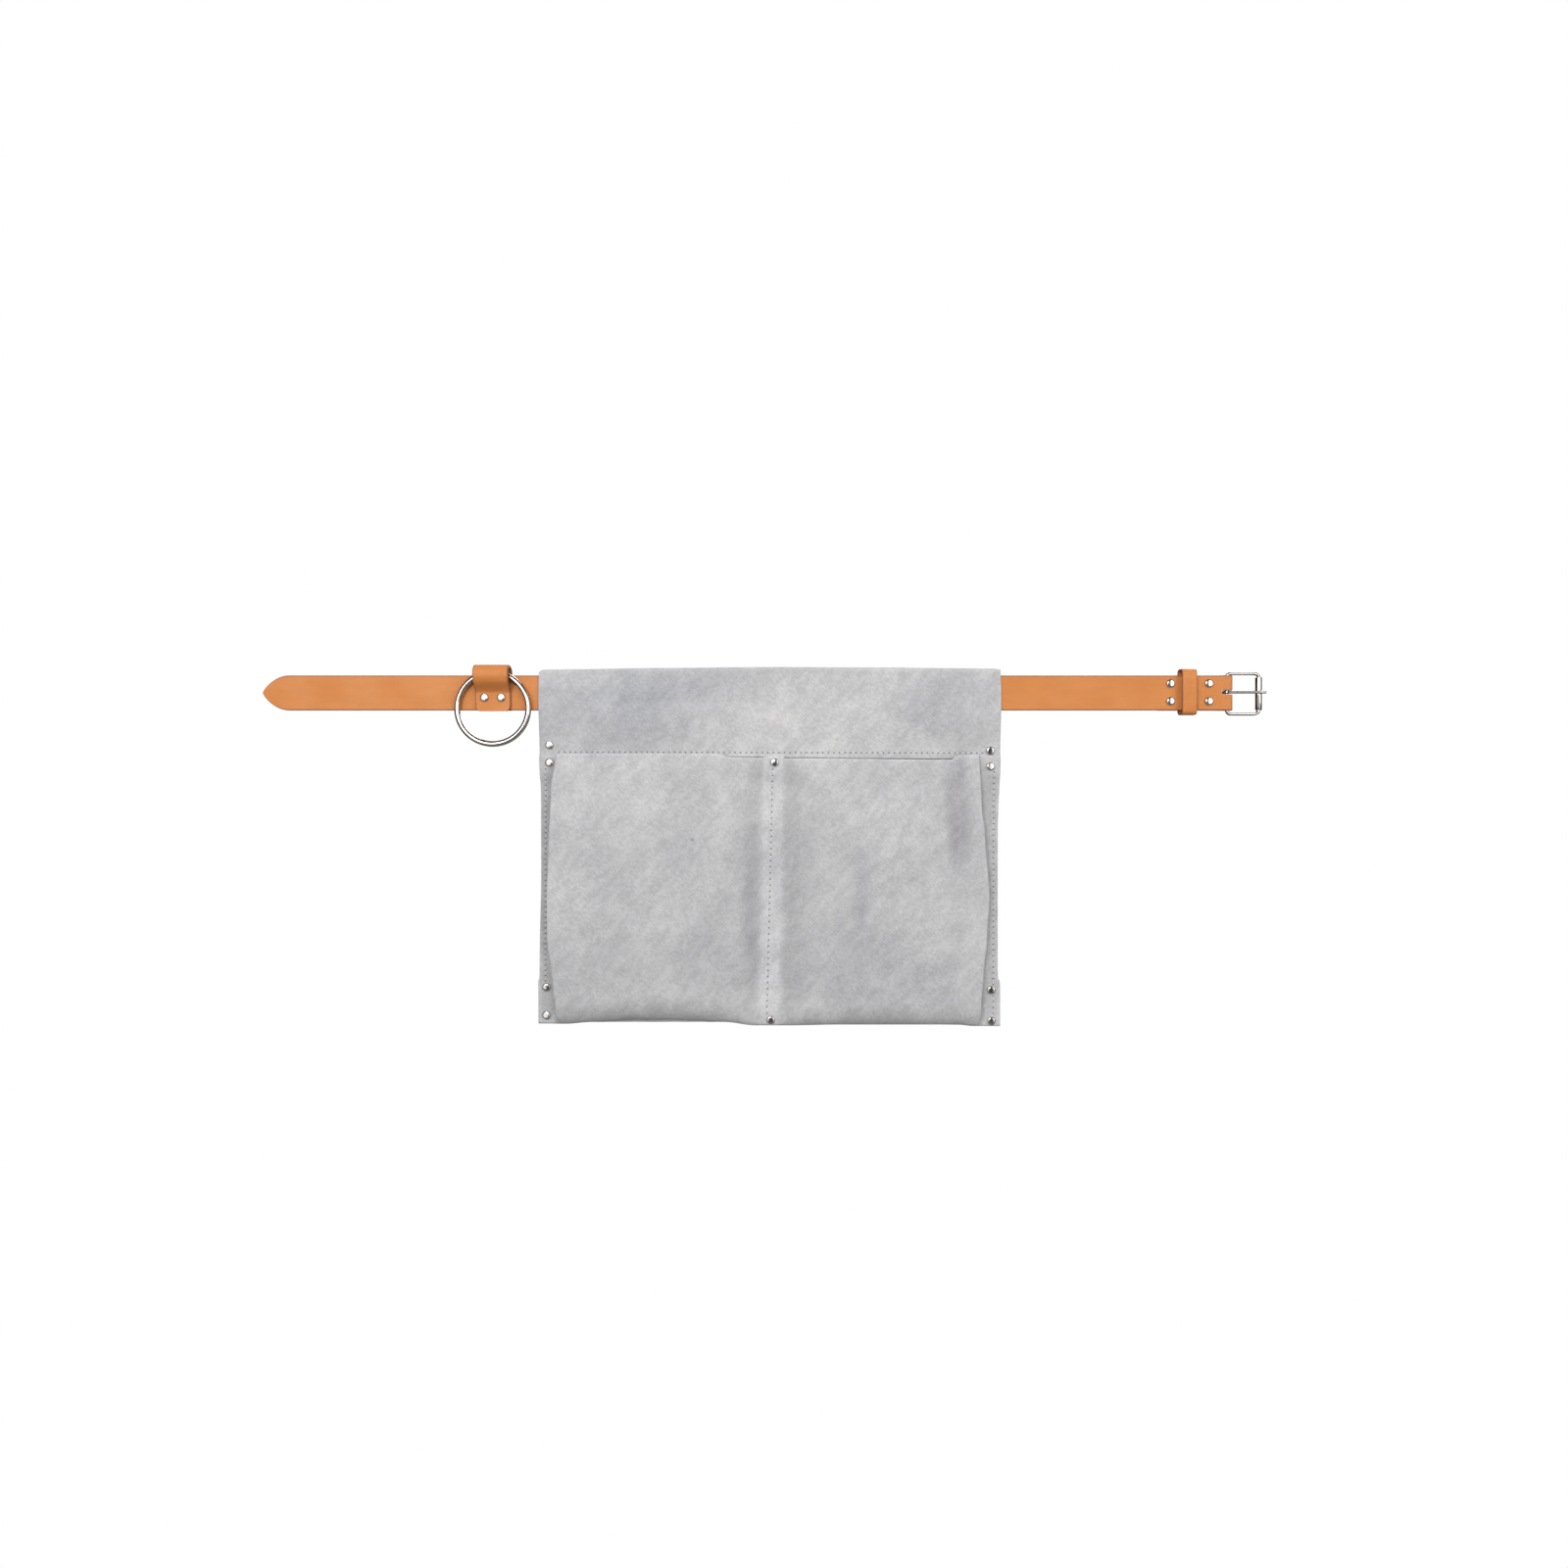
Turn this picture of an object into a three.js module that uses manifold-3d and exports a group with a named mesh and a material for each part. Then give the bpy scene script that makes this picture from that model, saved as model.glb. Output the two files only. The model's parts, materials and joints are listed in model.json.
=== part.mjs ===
// Waist apron on a buckled belt: two suede hides, a leather belt, a ring on a tab and a roller buckle.
// Millimetres, +Z up, +X towards the buckle, -Y to the front. The origin is on the apron's back face, at its
// centre, level with the belt's centre line.
import * as THREE from 'three';
import { mergeVertices } from 'three/addons/utils/BufferGeometryUtils.js';
import Module from 'manifold-3d';

const wasm = await Module();
wasm.setup();

// ---- clearances ----
const GAP = 0.3; // between faces that rest on each other
const HOLE_PLAY = 0.3; // round a stem in its hole
const WIRE_PLAY = 0.3; // round a wire in its loop

// ---- belt strap ----
const STRAP_WIDTH = 38;
const STRAP_THICKNESS = 3.5;
const TAIL_REACH = 301.5; // from the apron's side to the pointed tip
const TIP_LENGTH = 26;
const TIP_NOSE = 9; // height of the blunt nose that ends the point
const FOLD_RETURN = 75; // how far the folded end comes back behind the strap
const FOLD_FLARE = 17; // length over which the two layers open round the heel bar

// ---- roller buckle ----
const BUCKLE_STANDOFF = 247.5; // from the apron's side to the heel bar
const BUCKLE_REACH = 34.5; // heel bar to outer bar
const BUCKLE_WIRE = 3.8;
const BUCKLE_CORNER = 3.5;
const BUCKLE_SWEEP = 7; // how far the outer corners run along the sides
const BUCKLE_SIDE_PLAY = 1.1; // strap edge to frame
const BUCKLE_HANG = -0.6; // the frame hangs this far off the strap's centre line
const ROLLER_DIAMETER = 7;
const ROLLER_END_PLAY = 0.5;
const TONGUE_WIRE = 3.4;
const TONGUE_OVERHANG = 6.2; // past the roller's centre
const TONGUE_OFFSET = 0.8;
const TONGUE_DROP = 0.6; // how far its tip drops off the roller's top
const TONGUE_WRAP_START = 35; // degrees round the heel bar, where the tongue's loop begins
const TONGUE_WRAP_END = 270;
const SLOT_SIDE_PLAY = 0.9;

// ---- keeper ----
const KEEPER_SETBACK = 44; // heel bar to the keeper's middle
const KEEPER_WIDTH = 16;
const KEEPER_THICKNESS = 2.4;
const KEEPER_SIDE_PLAY = 3.6;
const KEEPER_FRONT_ROOM = 5; // for the belt's tail
const KEEPER_CORNER = 4;
const KEEPER_LIFT = 1;
const STAPLE_WIRE = 1;
const STAPLE_SPAN = 9;
const STAPLE_LEG = 1.7;

// ---- ring and its tab ----
const RING_STANDOFF = 50.8; // from the apron's side to the ring's middle
const RING_CENTRE_RADIUS = 38.5;
const RING_WIRE = 6.2;
const RING_TOP_RISE = 2.4; // the ring's top wire centre above the strap's top edge
const LOOP_PLAY = 0.29; // round the ring's wire, at the loop's two ends
const LOOP_ENTRY_DROP = 15; // from the strap's top edge to where the front leaf leaves it
const LOOP_ENTRY_EASE = 2; // the front leaf bends this far above and below that height
const LOOP_LEAD_ANGLE = 0.5; // radians below the hinge line at which the loop's round part begins
const LOOP_LEAVE_ANGLE = 0.25; // radians past its top at which it ends
const LOOP_DROP_RISE = 5.5; // above the strap's top edge, where the back leaf turns down

// ---- apron hides ----
const APRON_WIDTH = 499;
const APRON_DROP = 362.5; // belt centre line to the bottom fold
const SUEDE = 1.8;
const TUNNEL_HEADROOM = 4.2; // above the strap, inside the top fold
const TUNNEL_SLACK = 0.8; // in front of the strap
const PANEL_SET = 0.15; // the back panel steps this far forward below the waist's flat face
const PANEL_SET_DROP = 26; // from the strap's lower edge to that step
const PANEL_SET_RUN = 5;
const FLAP_DROP = 11; // from the strap's lower edge, the flap hangs straight this far
const FLAP_SLOPE = 22; // then comes back to the panel over this height
const FLAP_MARGIN = 18.5; // and lies on it for this much
const TUNNEL_SEAM_RISE = 5.8; // above the flap's raw edge
const POCKET_LAP = 2; // how far the pocket hide laps the flap
const FOOT_ROOM = 1; // under the back panel's foot, inside the wrap
const WRAP_OVERHANG = 1.5; // the pocket hide is this much wider on each side than the back
const WRAP_RISE = 48; // how far the pocket hide comes up behind the back
const STEP_CLEARANCE = 1.6; // below the mouth rivets, where the pocket hide starts to drop onto the back
const STEP_RUN = 14;
const MOUTH_DEPTH = 11;
const BELLY_DEPTH = 17;
const FOOT_DEPTH = 14;
const FOOT_ROUND = 0.9; // how round the turned-under foot is, 1 for as high as it is deep
const PLEAT_CLEARANCE = 2.3; // from a rivet's cap to the pleat
const SIDE_BELLY = 8; // how far the fold comes out towards the edge at mid height
const PLEAT_RUN = 9;
const CHANNEL_HALF = 9;
const CHANNEL_RUN = 42;
const CHANNEL_TOP_X = 3.7;
const CHANNEL_FOOT_X = -1.6;

// ---- seams ----
const THREAD = 0.8;
const TUNNEL_SEAM_INSET = 19.5;
const SIDE_SEAM_INSET = 5.9;
const SEAM_RIVET_GAP = 1.4;
const SEAM_LIFT = 0.7; // from the hide's face to the thread, clear of the hide where it steps down

// ---- double-cap rivets ----
const CAP_DIAMETER = 9;
const CAP_HEIGHT = 2;
const BACK_CAP_HEIGHT = 1.6;
const CAP_RIM = 0.5;
const DOME = [[0.4, 0.96], [0.78, 0.72]]; // the cap's round: shares of its radius and of its height
const STEM_DIAMETER = 3.4;
const STEM_BORE = 2.2;
const POST_DIAMETER = 1.6;
const RIVET_SIDES = 12;
const RIVET_INSET = 9.7; // apron edge to a side rivet
const FOOT_RIVET_INSET = 6.3; // the same for the left one's lower row
const BUCKLE_RIVET_SETBACKS = [62.5, 20.8]; // heel bar to the two pairs
const BUCKLE_RIVET_INSETS = [8.8, 10]; // from the strap's top and lower edge
const TAB_RIVET_INSET = 9.9; // from the tab's sides
const TAB_RIVET_RISE = 13.7; // from its lower end
const TUNNEL_RIVET_RISES = [14, 7.7]; // above the flap's raw edge, left and right
const MOUTH_RIVET_DROPS = [5.1, 5.1, 9.4]; // below it, left, centre and right
const SIDE_RIVET_RISES = [42.8, 39.7]; // above the bottom fold, left and right
const FOOT_RIVET_RISES = [12.4, 7.2, 6.2]; // above it, left, centre and right
const HAND_SET = [0.8, 0.3, 0.4]; // how far right-hand rivets are off their line: mouth, side and foot
const CENTRE_RIVET_OFFSETS = [1, 2.1]; // centre rivets to the channel's line, top and foot
const CENTRE_SEAM_OFFSETS = [-1, -2]; // the centre seam to it

// ---- finishes ----
function finish(color, roughness, metalness) {
  return new THREE.MeshStandardMaterial({ color, roughness, metalness });
}
const SUEDE_FINISH = finish(0xc4c8ce, 0.95, 0);
const STRAP_FINISH = finish(0xd98d4f, 0.5, 0);
const NICKEL_FINISH = finish(0xd8d6d2, 0.18, 1);
const THREAD_FINISH = finish(0xd6d9dd, 0.8, 0);

// ---- levels worked out from the sizes ----
const STRAP_BACK_Y = -SUEDE - GAP;
const STRAP_FRONT_Y = STRAP_BACK_Y - STRAP_THICKNESS;
const RETURN_BACK_Y = STRAP_BACK_Y + GAP + STRAP_THICKNESS;
const HEEL_BAR_Y = STRAP_BACK_Y + GAP / 2;
const STRAP_HALF = STRAP_WIDTH / 2;
const APRON_HALF = APRON_WIDTH / 2;
const MARGIN_DEPTH = PANEL_SET + SUEDE + GAP + SUEDE / 2;
const OVER_FLAP_DEPTH = MARGIN_DEPTH + SUEDE + GAP;
const TAIL_LENGTH = APRON_HALF + TAIL_REACH;
const HEEL_BAR_X = APRON_HALF + BUCKLE_STANDOFF;
const RING_X = -APRON_HALF - RING_STANDOFF;
const PANEL_SET_Z = -STRAP_HALF - PANEL_SET_DROP;
const FLAP_FLAT_Z = -STRAP_HALF - FLAP_DROP;
const FLAP_LAND_Z = FLAP_FLAT_Z - FLAP_SLOPE;
const FLAP_EDGE_Z = FLAP_LAND_Z - FLAP_MARGIN;
const POCKET_TOP_Z = FLAP_EDGE_Z + POCKET_LAP;
const STEP_START_Z = FLAP_EDGE_Z - Math.max(...MOUTH_RIVET_DROPS) - CAP_DIAMETER / 2 - STEP_CLEARANCE;
const STEP_END_Z = STEP_START_Z - STEP_RUN;
const SIDE_MARGIN = RIVET_INSET + CAP_DIAMETER / 2 + PLEAT_CLEARANCE + PLEAT_RUN; // edge to the pleat's fold

// ---- solids ----
function toManifold(geometry) {
  const bare = geometry.clone();
  bare.deleteAttribute('normal');
  bare.deleteAttribute('uv');
  const merged = mergeVertices(bare, 1e-4);
  const corners = merged.index.array;
  const kept = [];
  for (let i = 0; i < corners.length; i += 3) {
    const [a, b, c] = [corners[i], corners[i + 1], corners[i + 2]];
    if (a !== b && b !== c && c !== a) {
      kept.push(a, b, c);
    }
  }
  const vertProperties = new Float32Array(merged.attributes.position.array);
  return new wasm.Manifold(new wasm.Mesh({ numProp: 3, vertProperties, triVerts: new Uint32Array(kept) }));
}

function toGeometry(manifold) {
  const mesh = manifold.getMesh();
  const geometry = new THREE.BufferGeometry();
  geometry.setAttribute('position', new THREE.BufferAttribute(new Float32Array(mesh.vertProperties), 3));
  geometry.setIndex(new THREE.BufferAttribute(new Uint32Array(mesh.triVerts), 1));
  geometry.computeVertexNormals();
  return geometry;
}

function cut(geometry, cutters) {
  let solid = toManifold(geometry);
  for (const cutter of cutters) {
    solid = solid.subtract(toManifold(cutter));
  }
  return toGeometry(solid);
}

function keepInside(geometry, outline) {
  return toGeometry(toManifold(geometry).intersect(toManifold(outline)));
}

// A drill along Y through the point (x, z).
function drill(x, z, diameter) {
  const long = 60;
  return new THREE.CylinderGeometry(diameter / 2, diameter / 2, long, RIVET_SIDES).translate(x, 0, z);
}

// The closed outline of a strip of one thickness whose middle follows the points.
function stripOutline(points, thickness) {
  const left = [];
  const right = [];
  points.forEach((point, i) => {
    const before = points[Math.max(i - 1, 0)];
    const after = points[Math.min(i + 1, points.length - 1)];
    const along = after.clone().sub(before).normalize();
    const across = new THREE.Vector2(-along.y, along.x).multiplyScalar(thickness / 2);
    left.push(point.clone().add(across));
    right.push(point.clone().sub(across));
  });
  return new THREE.Shape(left.concat(right.reverse()));
}

// A strip whose profile lies in the XY plane, centred on z.
function stripAcrossZ(points, thickness, width) {
  const outline = stripOutline(points, thickness);
  const geometry = new THREE.ExtrudeGeometry(outline, { depth: width, bevelEnabled: false });
  return geometry.translate(0, 0, -width / 2);
}

// A shape drawn in the YZ plane and made solid across x, centred on it.
function acrossX(shape, width, x = 0) {
  const geometry = new THREE.ExtrudeGeometry(shape, { depth: width, bevelEnabled: false });
  const turn = new THREE.Matrix4().makeBasis(
    new THREE.Vector3(0, 1, 0),
    new THREE.Vector3(0, 0, 1),
    new THREE.Vector3(1, 0, 0),
  );
  return geometry.applyMatrix4(turn).translate(x - width / 2, 0, 0);
}

function stripAcrossX(points, thickness, width, x = 0) {
  return acrossX(stripOutline(points, thickness), width, x);
}

// A round wire along a curve.
function wireAlong(curve, diameter, sides, steps) {
  const section = new THREE.Shape();
  section.absarc(0, 0, diameter / 2, 0, Math.PI * 2);
  const options = { steps, curveSegments: sides, bevelEnabled: false, extrudePath: curve };
  return new THREE.ExtrudeGeometry(section, options);
}

// A closed round wire in the XZ plane, through stations that each hold a point and an outward direction.
function closedWire(stations, diameter, sides) {
  const geometry = new THREE.TorusGeometry(1, 0.1, sides, stations.length);
  const position = geometry.attributes.position;
  for (let j = 0; j <= sides; j += 1) {
    const turn = (j / sides) * Math.PI * 2;
    for (let i = 0; i <= stations.length; i += 1) {
      const { point, outward } = stations[i % stations.length];
      const reach = (diameter / 2) * Math.cos(turn);
      const x = point.x + outward.x * reach;
      const z = point.y + outward.y * reach;
      position.setXYZ(j * (stations.length + 1) + i, x, -(diameter / 2) * Math.sin(turn), z);
    }
  }
  return geometry;
}

const pieces = new THREE.Group();

function addPiece(name, geometry, material, group = pieces) {
  const mesh = new THREE.Mesh(geometry, material);
  mesh.name = name;
  group.add(mesh);
  return mesh;
}

// ---- rivets ----
// A cap with a hollow stem goes in from the front, and a cap with a post goes into the stem from the back.
// Both are turned about Y: the profile's height runs towards the back.
function turned(profile) {
  const points = profile.map(([radius, y]) => new THREE.Vector2(radius, y));
  return new THREE.LatheGeometry(points, RIVET_SIDES);
}

function addRivet(name, x, z, frontY, backY) {
  const seat = frontY - GAP;
  const backSeat = backY + GAP;
  const capRadius = CAP_DIAMETER / 2;
  const stemEnd = backSeat - GAP;
  const boreEnd = seat - CAP_RIM;
  const front = turned([
    [0, seat - CAP_HEIGHT],
    ...DOME.map(([out, up]) => [capRadius * out, seat - CAP_HEIGHT * up]),
    [capRadius, seat - CAP_RIM],
    [capRadius, seat],
    [STEM_DIAMETER / 2, seat],
    [STEM_DIAMETER / 2, stemEnd],
    [STEM_BORE / 2, stemEnd],
    [STEM_BORE / 2, boreEnd],
    [0, boreEnd],
  ]);
  const back = turned([
    [0, boreEnd + GAP],
    [POST_DIAMETER / 2, boreEnd + GAP],
    [POST_DIAMETER / 2, backSeat],
    [capRadius, backSeat],
    [capRadius, backSeat + CAP_RIM],
    ...DOME.toReversed().map(([out, up]) => [capRadius * out, backSeat + BACK_CAP_HEIGHT * up]),
    [0, backSeat + BACK_CAP_HEIGHT],
  ]);
  addPiece(`${name}_cap`, front.translate(x, 0, z), NICKEL_FINISH);
  addPiece(`${name}_post`, back.translate(x, 0, z), NICKEL_FINISH);
}

const HOLE_DIAMETER = STEM_DIAMETER + 2 * HOLE_PLAY;

// ---- belt strap ----
function strapPath() {
  const y = STRAP_BACK_Y - STRAP_THICKNESS / 2;
  const returnY = STRAP_BACK_Y + GAP + STRAP_THICKNESS / 2;
  const bend = BUCKLE_WIRE / 2 + WIRE_PLAY + STRAP_THICKNESS / 2;
  const flareX = HEEL_BAR_X - FOLD_FLARE;
  const points = [new THREE.Vector2(-TAIL_LENGTH, y), new THREE.Vector2(flareX - FOLD_FLARE / 4, y)];
  const front = new THREE.CubicBezierCurve(
    new THREE.Vector2(flareX, y),
    new THREE.Vector2(flareX + FOLD_FLARE / 2, y),
    new THREE.Vector2(HEEL_BAR_X - FOLD_FLARE / 2, HEEL_BAR_Y - bend),
    new THREE.Vector2(HEEL_BAR_X, HEEL_BAR_Y - bend),
  );
  points.push(...front.getPoints(6));
  const bendSteps = 10;
  for (let i = 1; i < bendSteps; i += 1) {
    const angle = -Math.PI / 2 + (Math.PI * i) / bendSteps;
    points.push(new THREE.Vector2(HEEL_BAR_X + bend * Math.cos(angle), HEEL_BAR_Y + bend * Math.sin(angle)));
  }
  const back = new THREE.CubicBezierCurve(
    new THREE.Vector2(HEEL_BAR_X, HEEL_BAR_Y + bend),
    new THREE.Vector2(HEEL_BAR_X - FOLD_FLARE / 2, HEEL_BAR_Y + bend),
    new THREE.Vector2(flareX + FOLD_FLARE / 2, returnY),
    new THREE.Vector2(flareX, returnY),
  );
  points.push(...back.getPoints(6));
  points.push(new THREE.Vector2(HEEL_BAR_X - FOLD_RETURN, returnY));
  return points;
}

// The strap seen from the front: straight edges and a pointed, blunt-nosed tip.
function strapOutline() {
  const shoulder = -TAIL_LENGTH + TIP_LENGTH;
  const bow = shoulder - TIP_LENGTH * 0.3;
  const nose = -TAIL_LENGTH + TIP_LENGTH * 0.12;
  const beyond = HEEL_BAR_X + STRAP_WIDTH;
  const shape = new THREE.Shape();
  shape.moveTo(beyond, -STRAP_HALF - 1);
  shape.lineTo(beyond, STRAP_HALF + 1);
  shape.lineTo(shoulder, STRAP_HALF + 1);
  shape.lineTo(shoulder, STRAP_HALF);
  shape.quadraticCurveTo(bow, STRAP_HALF, nose, TIP_NOSE / 2);
  shape.quadraticCurveTo(-TAIL_LENGTH, TIP_NOSE / 4, -TAIL_LENGTH, 0);
  shape.quadraticCurveTo(-TAIL_LENGTH, -TIP_NOSE / 4, nose, -TIP_NOSE / 2);
  shape.quadraticCurveTo(bow, -STRAP_HALF, shoulder, -STRAP_HALF);
  shape.lineTo(shoulder, -STRAP_HALF - 1);
  const thick = 40;
  const geometry = new THREE.ExtrudeGeometry(shape, { depth: thick, bevelEnabled: false, curveSegments: 6 });
  return geometry.rotateX(Math.PI / 2).translate(0, thick / 2, 0);
}

const tongueLoop = BUCKLE_WIRE / 2 + WIRE_PLAY + TONGUE_WIRE / 2;

function tongueSlot() {
  const start = HEEL_BAR_X - tongueLoop - TONGUE_WIRE / 2 - WIRE_PLAY;
  const end = HEEL_BAR_X + BUCKLE_REACH;
  const high = TONGUE_WIRE + 2 * SLOT_SIDE_PLAY;
  const deep = 40;
  return new THREE.BoxGeometry(end - start, deep, high).translate((start + end) / 2, 0, TONGUE_OFFSET);
}

const tabRivetX = [-1, 1].map((side) => RING_X + side * (STRAP_HALF - TAB_RIVET_INSET));
const tabRivetZ = -STRAP_HALF + TAB_RIVET_RISE;
const buckleRivetZ = [STRAP_HALF - BUCKLE_RIVET_INSETS[0], BUCKLE_RIVET_INSETS[1] - STRAP_HALF];
const buckleRivets = BUCKLE_RIVET_SETBACKS.flatMap((back) => buckleRivetZ.map((z) => [HEEL_BAR_X - back, z]));
const strapHoles = [
  ...buckleRivets.map(([x, z]) => drill(x, z, HOLE_DIAMETER)),
  ...tabRivetX.map((x) => drill(x, tabRivetZ, HOLE_DIAMETER)),
];
const strap = keepInside(stripAcrossZ(strapPath(), STRAP_THICKNESS, STRAP_WIDTH), strapOutline());
addPiece('belt_strap', cut(strap, [tongueSlot(), ...strapHoles]), STRAP_FINISH);
buckleRivets.forEach(([x, z], i) => {
  addRivet(`rivet_buckle_${i + 1}`, x, z, STRAP_FRONT_Y, RETURN_BACK_Y);
});

// ---- keeper ----
function keeperPath() {
  const half = STRAP_HALF + KEEPER_SIDE_PLAY + KEEPER_THICKNESS / 2;
  const frontY = STRAP_FRONT_Y - KEEPER_FRONT_ROOM - KEEPER_THICKNESS / 2;
  const backY = RETURN_BACK_Y + GAP + KEEPER_THICKNESS / 2;
  const path = new THREE.Path();
  path.moveTo(backY, GAP / 2);
  path.lineTo(backY, half - KEEPER_CORNER);
  path.absarc(backY - KEEPER_CORNER, half - KEEPER_CORNER, KEEPER_CORNER, 0, Math.PI / 2);
  path.absarc(frontY + KEEPER_CORNER, half - KEEPER_CORNER, KEEPER_CORNER, Math.PI / 2, Math.PI);
  path.absarc(frontY + KEEPER_CORNER, KEEPER_CORNER - half, KEEPER_CORNER, Math.PI, Math.PI * 1.5);
  path.absarc(backY - KEEPER_CORNER, KEEPER_CORNER - half, KEEPER_CORNER, Math.PI * 1.5, Math.PI * 2);
  path.lineTo(backY, -GAP / 2);
  const unique = [];
  for (const point of path.getPoints(5)) {
    if (!unique.length || unique[unique.length - 1].distanceTo(point) > 1e-6) {
      unique.push(point);
    }
  }
  return unique;
}

const keeperBackY = RETURN_BACK_Y + GAP + KEEPER_THICKNESS;
const stapleLegZ = (STAPLE_SPAN - STAPLE_WIRE) / 2;
const stapleHoles = [-1, 1].map((side) => {
  const wide = STAPLE_WIRE + 2 * HOLE_PLAY;
  const deep = 2 * KEEPER_THICKNESS;
  return new THREE.BoxGeometry(wide, deep, wide).translate(0, keeperBackY, side * stapleLegZ);
});
const keeper = new THREE.Group();
keeper.position.set(HEEL_BAR_X - KEEPER_SETBACK, 0, KEEPER_LIFT);
pieces.add(keeper);
const keeperLoop = stripAcrossX(keeperPath(), KEEPER_THICKNESS, KEEPER_WIDTH);
addPiece('keeper', cut(keeperLoop, stapleHoles), STRAP_FINISH, keeper);

function staple() {
  const crown = keeperBackY + GAP;
  const half = STAPLE_SPAN / 2;
  const shape = new THREE.Shape();
  shape.moveTo(crown - STAPLE_LEG, half);
  shape.lineTo(crown + STAPLE_WIRE, half);
  shape.lineTo(crown + STAPLE_WIRE, -half);
  shape.lineTo(crown - STAPLE_LEG, -half);
  shape.lineTo(crown - STAPLE_LEG, STAPLE_WIRE - half);
  shape.lineTo(crown, STAPLE_WIRE - half);
  shape.lineTo(crown, half - STAPLE_WIRE);
  shape.lineTo(crown - STAPLE_LEG, half - STAPLE_WIRE);
  return acrossX(shape, STAPLE_WIRE);
}

addPiece('keeper_staple', staple(), NICKEL_FINISH, keeper);

// ---- roller buckle: everything is placed from the heel bar ----
const buckle = new THREE.Group();
buckle.position.set(HEEL_BAR_X, HEEL_BAR_Y, 0);
pieces.add(buckle);
const frameHalf = STRAP_HALF + BUCKLE_SIDE_PLAY + BUCKLE_WIRE / 2;

// The frame's centre line: square-set corners at the heel bar and long, sweeping ones at the roller's bar.
function frameStations() {
  const stations = [];
  const high = frameHalf - BUCKLE_CORNER;
  const corners = [
    [BUCKLE_REACH - BUCKLE_SWEEP, high, BUCKLE_SWEEP],
    [BUCKLE_CORNER, high, BUCKLE_CORNER],
    [BUCKLE_CORNER, -high, BUCKLE_CORNER],
    [BUCKLE_REACH - BUCKLE_SWEEP, -high, BUCKLE_SWEEP],
  ];
  const steps = 4;
  corners.forEach(([x, z, run], quarter) => {
    for (let i = 0; i <= steps; i += 1) {
      const angle = (Math.PI / 2) * (quarter + i / steps);
      const point = new THREE.Vector2(x + run * Math.cos(angle), z + BUCKLE_CORNER * Math.sin(angle));
      const outward = new THREE.Vector2(BUCKLE_CORNER * Math.cos(angle), run * Math.sin(angle)).normalize();
      stations.push({ point, outward });
    }
  });
  return stations;
}

function addBucklePiece(name, geometry, z) {
  addPiece(name, geometry, NICKEL_FINISH, buckle).position.z = z;
}

addBucklePiece('buckle_frame', closedWire(frameStations(), BUCKLE_WIRE, 8), BUCKLE_HANG);

const rollerLength = 2 * (frameHalf - BUCKLE_CORNER - ROLLER_END_PLAY);
const rollerBore = BUCKLE_WIRE / 2 + WIRE_PLAY;
const rollerProfile = [
  [rollerBore, -rollerLength / 2],
  [ROLLER_DIAMETER / 2, -rollerLength / 2],
  [ROLLER_DIAMETER / 2, rollerLength / 2],
  [rollerBore, rollerLength / 2],
  [rollerBore, -rollerLength / 2],
].map(([radius, y]) => new THREE.Vector2(radius, y));
const roller = new THREE.LatheGeometry(rollerProfile, 14).rotateX(Math.PI / 2).translate(BUCKLE_REACH, 0, 0);
addBucklePiece('buckle_roller', roller, BUCKLE_HANG);

function tonguePath() {
  const points = [];
  const wrapStart = THREE.MathUtils.degToRad(TONGUE_WRAP_START);
  const wrapEnd = THREE.MathUtils.degToRad(TONGUE_WRAP_END);
  const wrapSteps = 9;
  for (let i = 0; i <= wrapSteps; i += 1) {
    const angle = wrapStart + ((wrapEnd - wrapStart) * i) / wrapSteps;
    points.push(new THREE.Vector3(tongueLoop * Math.cos(angle), tongueLoop * Math.sin(angle), 0));
  }
  const onRoller = -(ROLLER_DIAMETER / 2 + GAP + TONGUE_WIRE / 2);
  points.push(new THREE.Vector3(BUCKLE_REACH / 3, -tongueLoop + (onRoller + tongueLoop) / 3, 0));
  points.push(new THREE.Vector3(BUCKLE_REACH - 2, onRoller, 0));
  points.push(new THREE.Vector3(BUCKLE_REACH + 2, onRoller, 0));
  points.push(new THREE.Vector3(BUCKLE_REACH + TONGUE_OVERHANG, onRoller + TONGUE_DROP, 0));
  return new THREE.CatmullRomCurve3(points, false, 'centripetal');
}

addBucklePiece('buckle_tongue', wireAlong(tonguePath(), TONGUE_WIRE, 8, 26), TONGUE_OFFSET);

// ---- O-ring: it hangs in front of the strap, with its top wire in the tab's loop ----
// Its wire sags by arcSag across the tab, and it swings about a line half as far below and before its top,
// so that halfway up the top wire comes back by swingBack and still clears the strap.
const arcSag = RING_CENTRE_RADIUS - Math.sqrt(RING_CENTRE_RADIUS ** 2 - STRAP_HALF ** 2);
const swingBack = arcSag * (Math.SQRT1_2 - 1 / 2);
const ringY = STRAP_FRONT_Y - GAP - RING_WIRE / 2 - swingBack;
const ringTopZ = STRAP_HALF + RING_TOP_RISE;
const hingeY = ringY - arcSag / 2;
const hingeZ = ringTopZ - arcSag / 2;
const ring = new THREE.TorusGeometry(RING_CENTRE_RADIUS, RING_WIRE / 2, 10, 40).rotateX(Math.PI / 2);
addPiece('o_ring', ring.translate(RING_X, ringY, ringTopZ - RING_CENTRE_RADIUS), NICKEL_FINISH);

// ---- ring tab, cut from the same strap: up in front of it, round the ring's wire, and down behind it ----
const wireSlant = Math.cos(Math.asin(STRAP_HALF / RING_CENTRE_RADIUS));
const loopRoom = arcSag * Math.SQRT1_2 + RING_WIRE / 2 / wireSlant + LOOP_PLAY;

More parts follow.
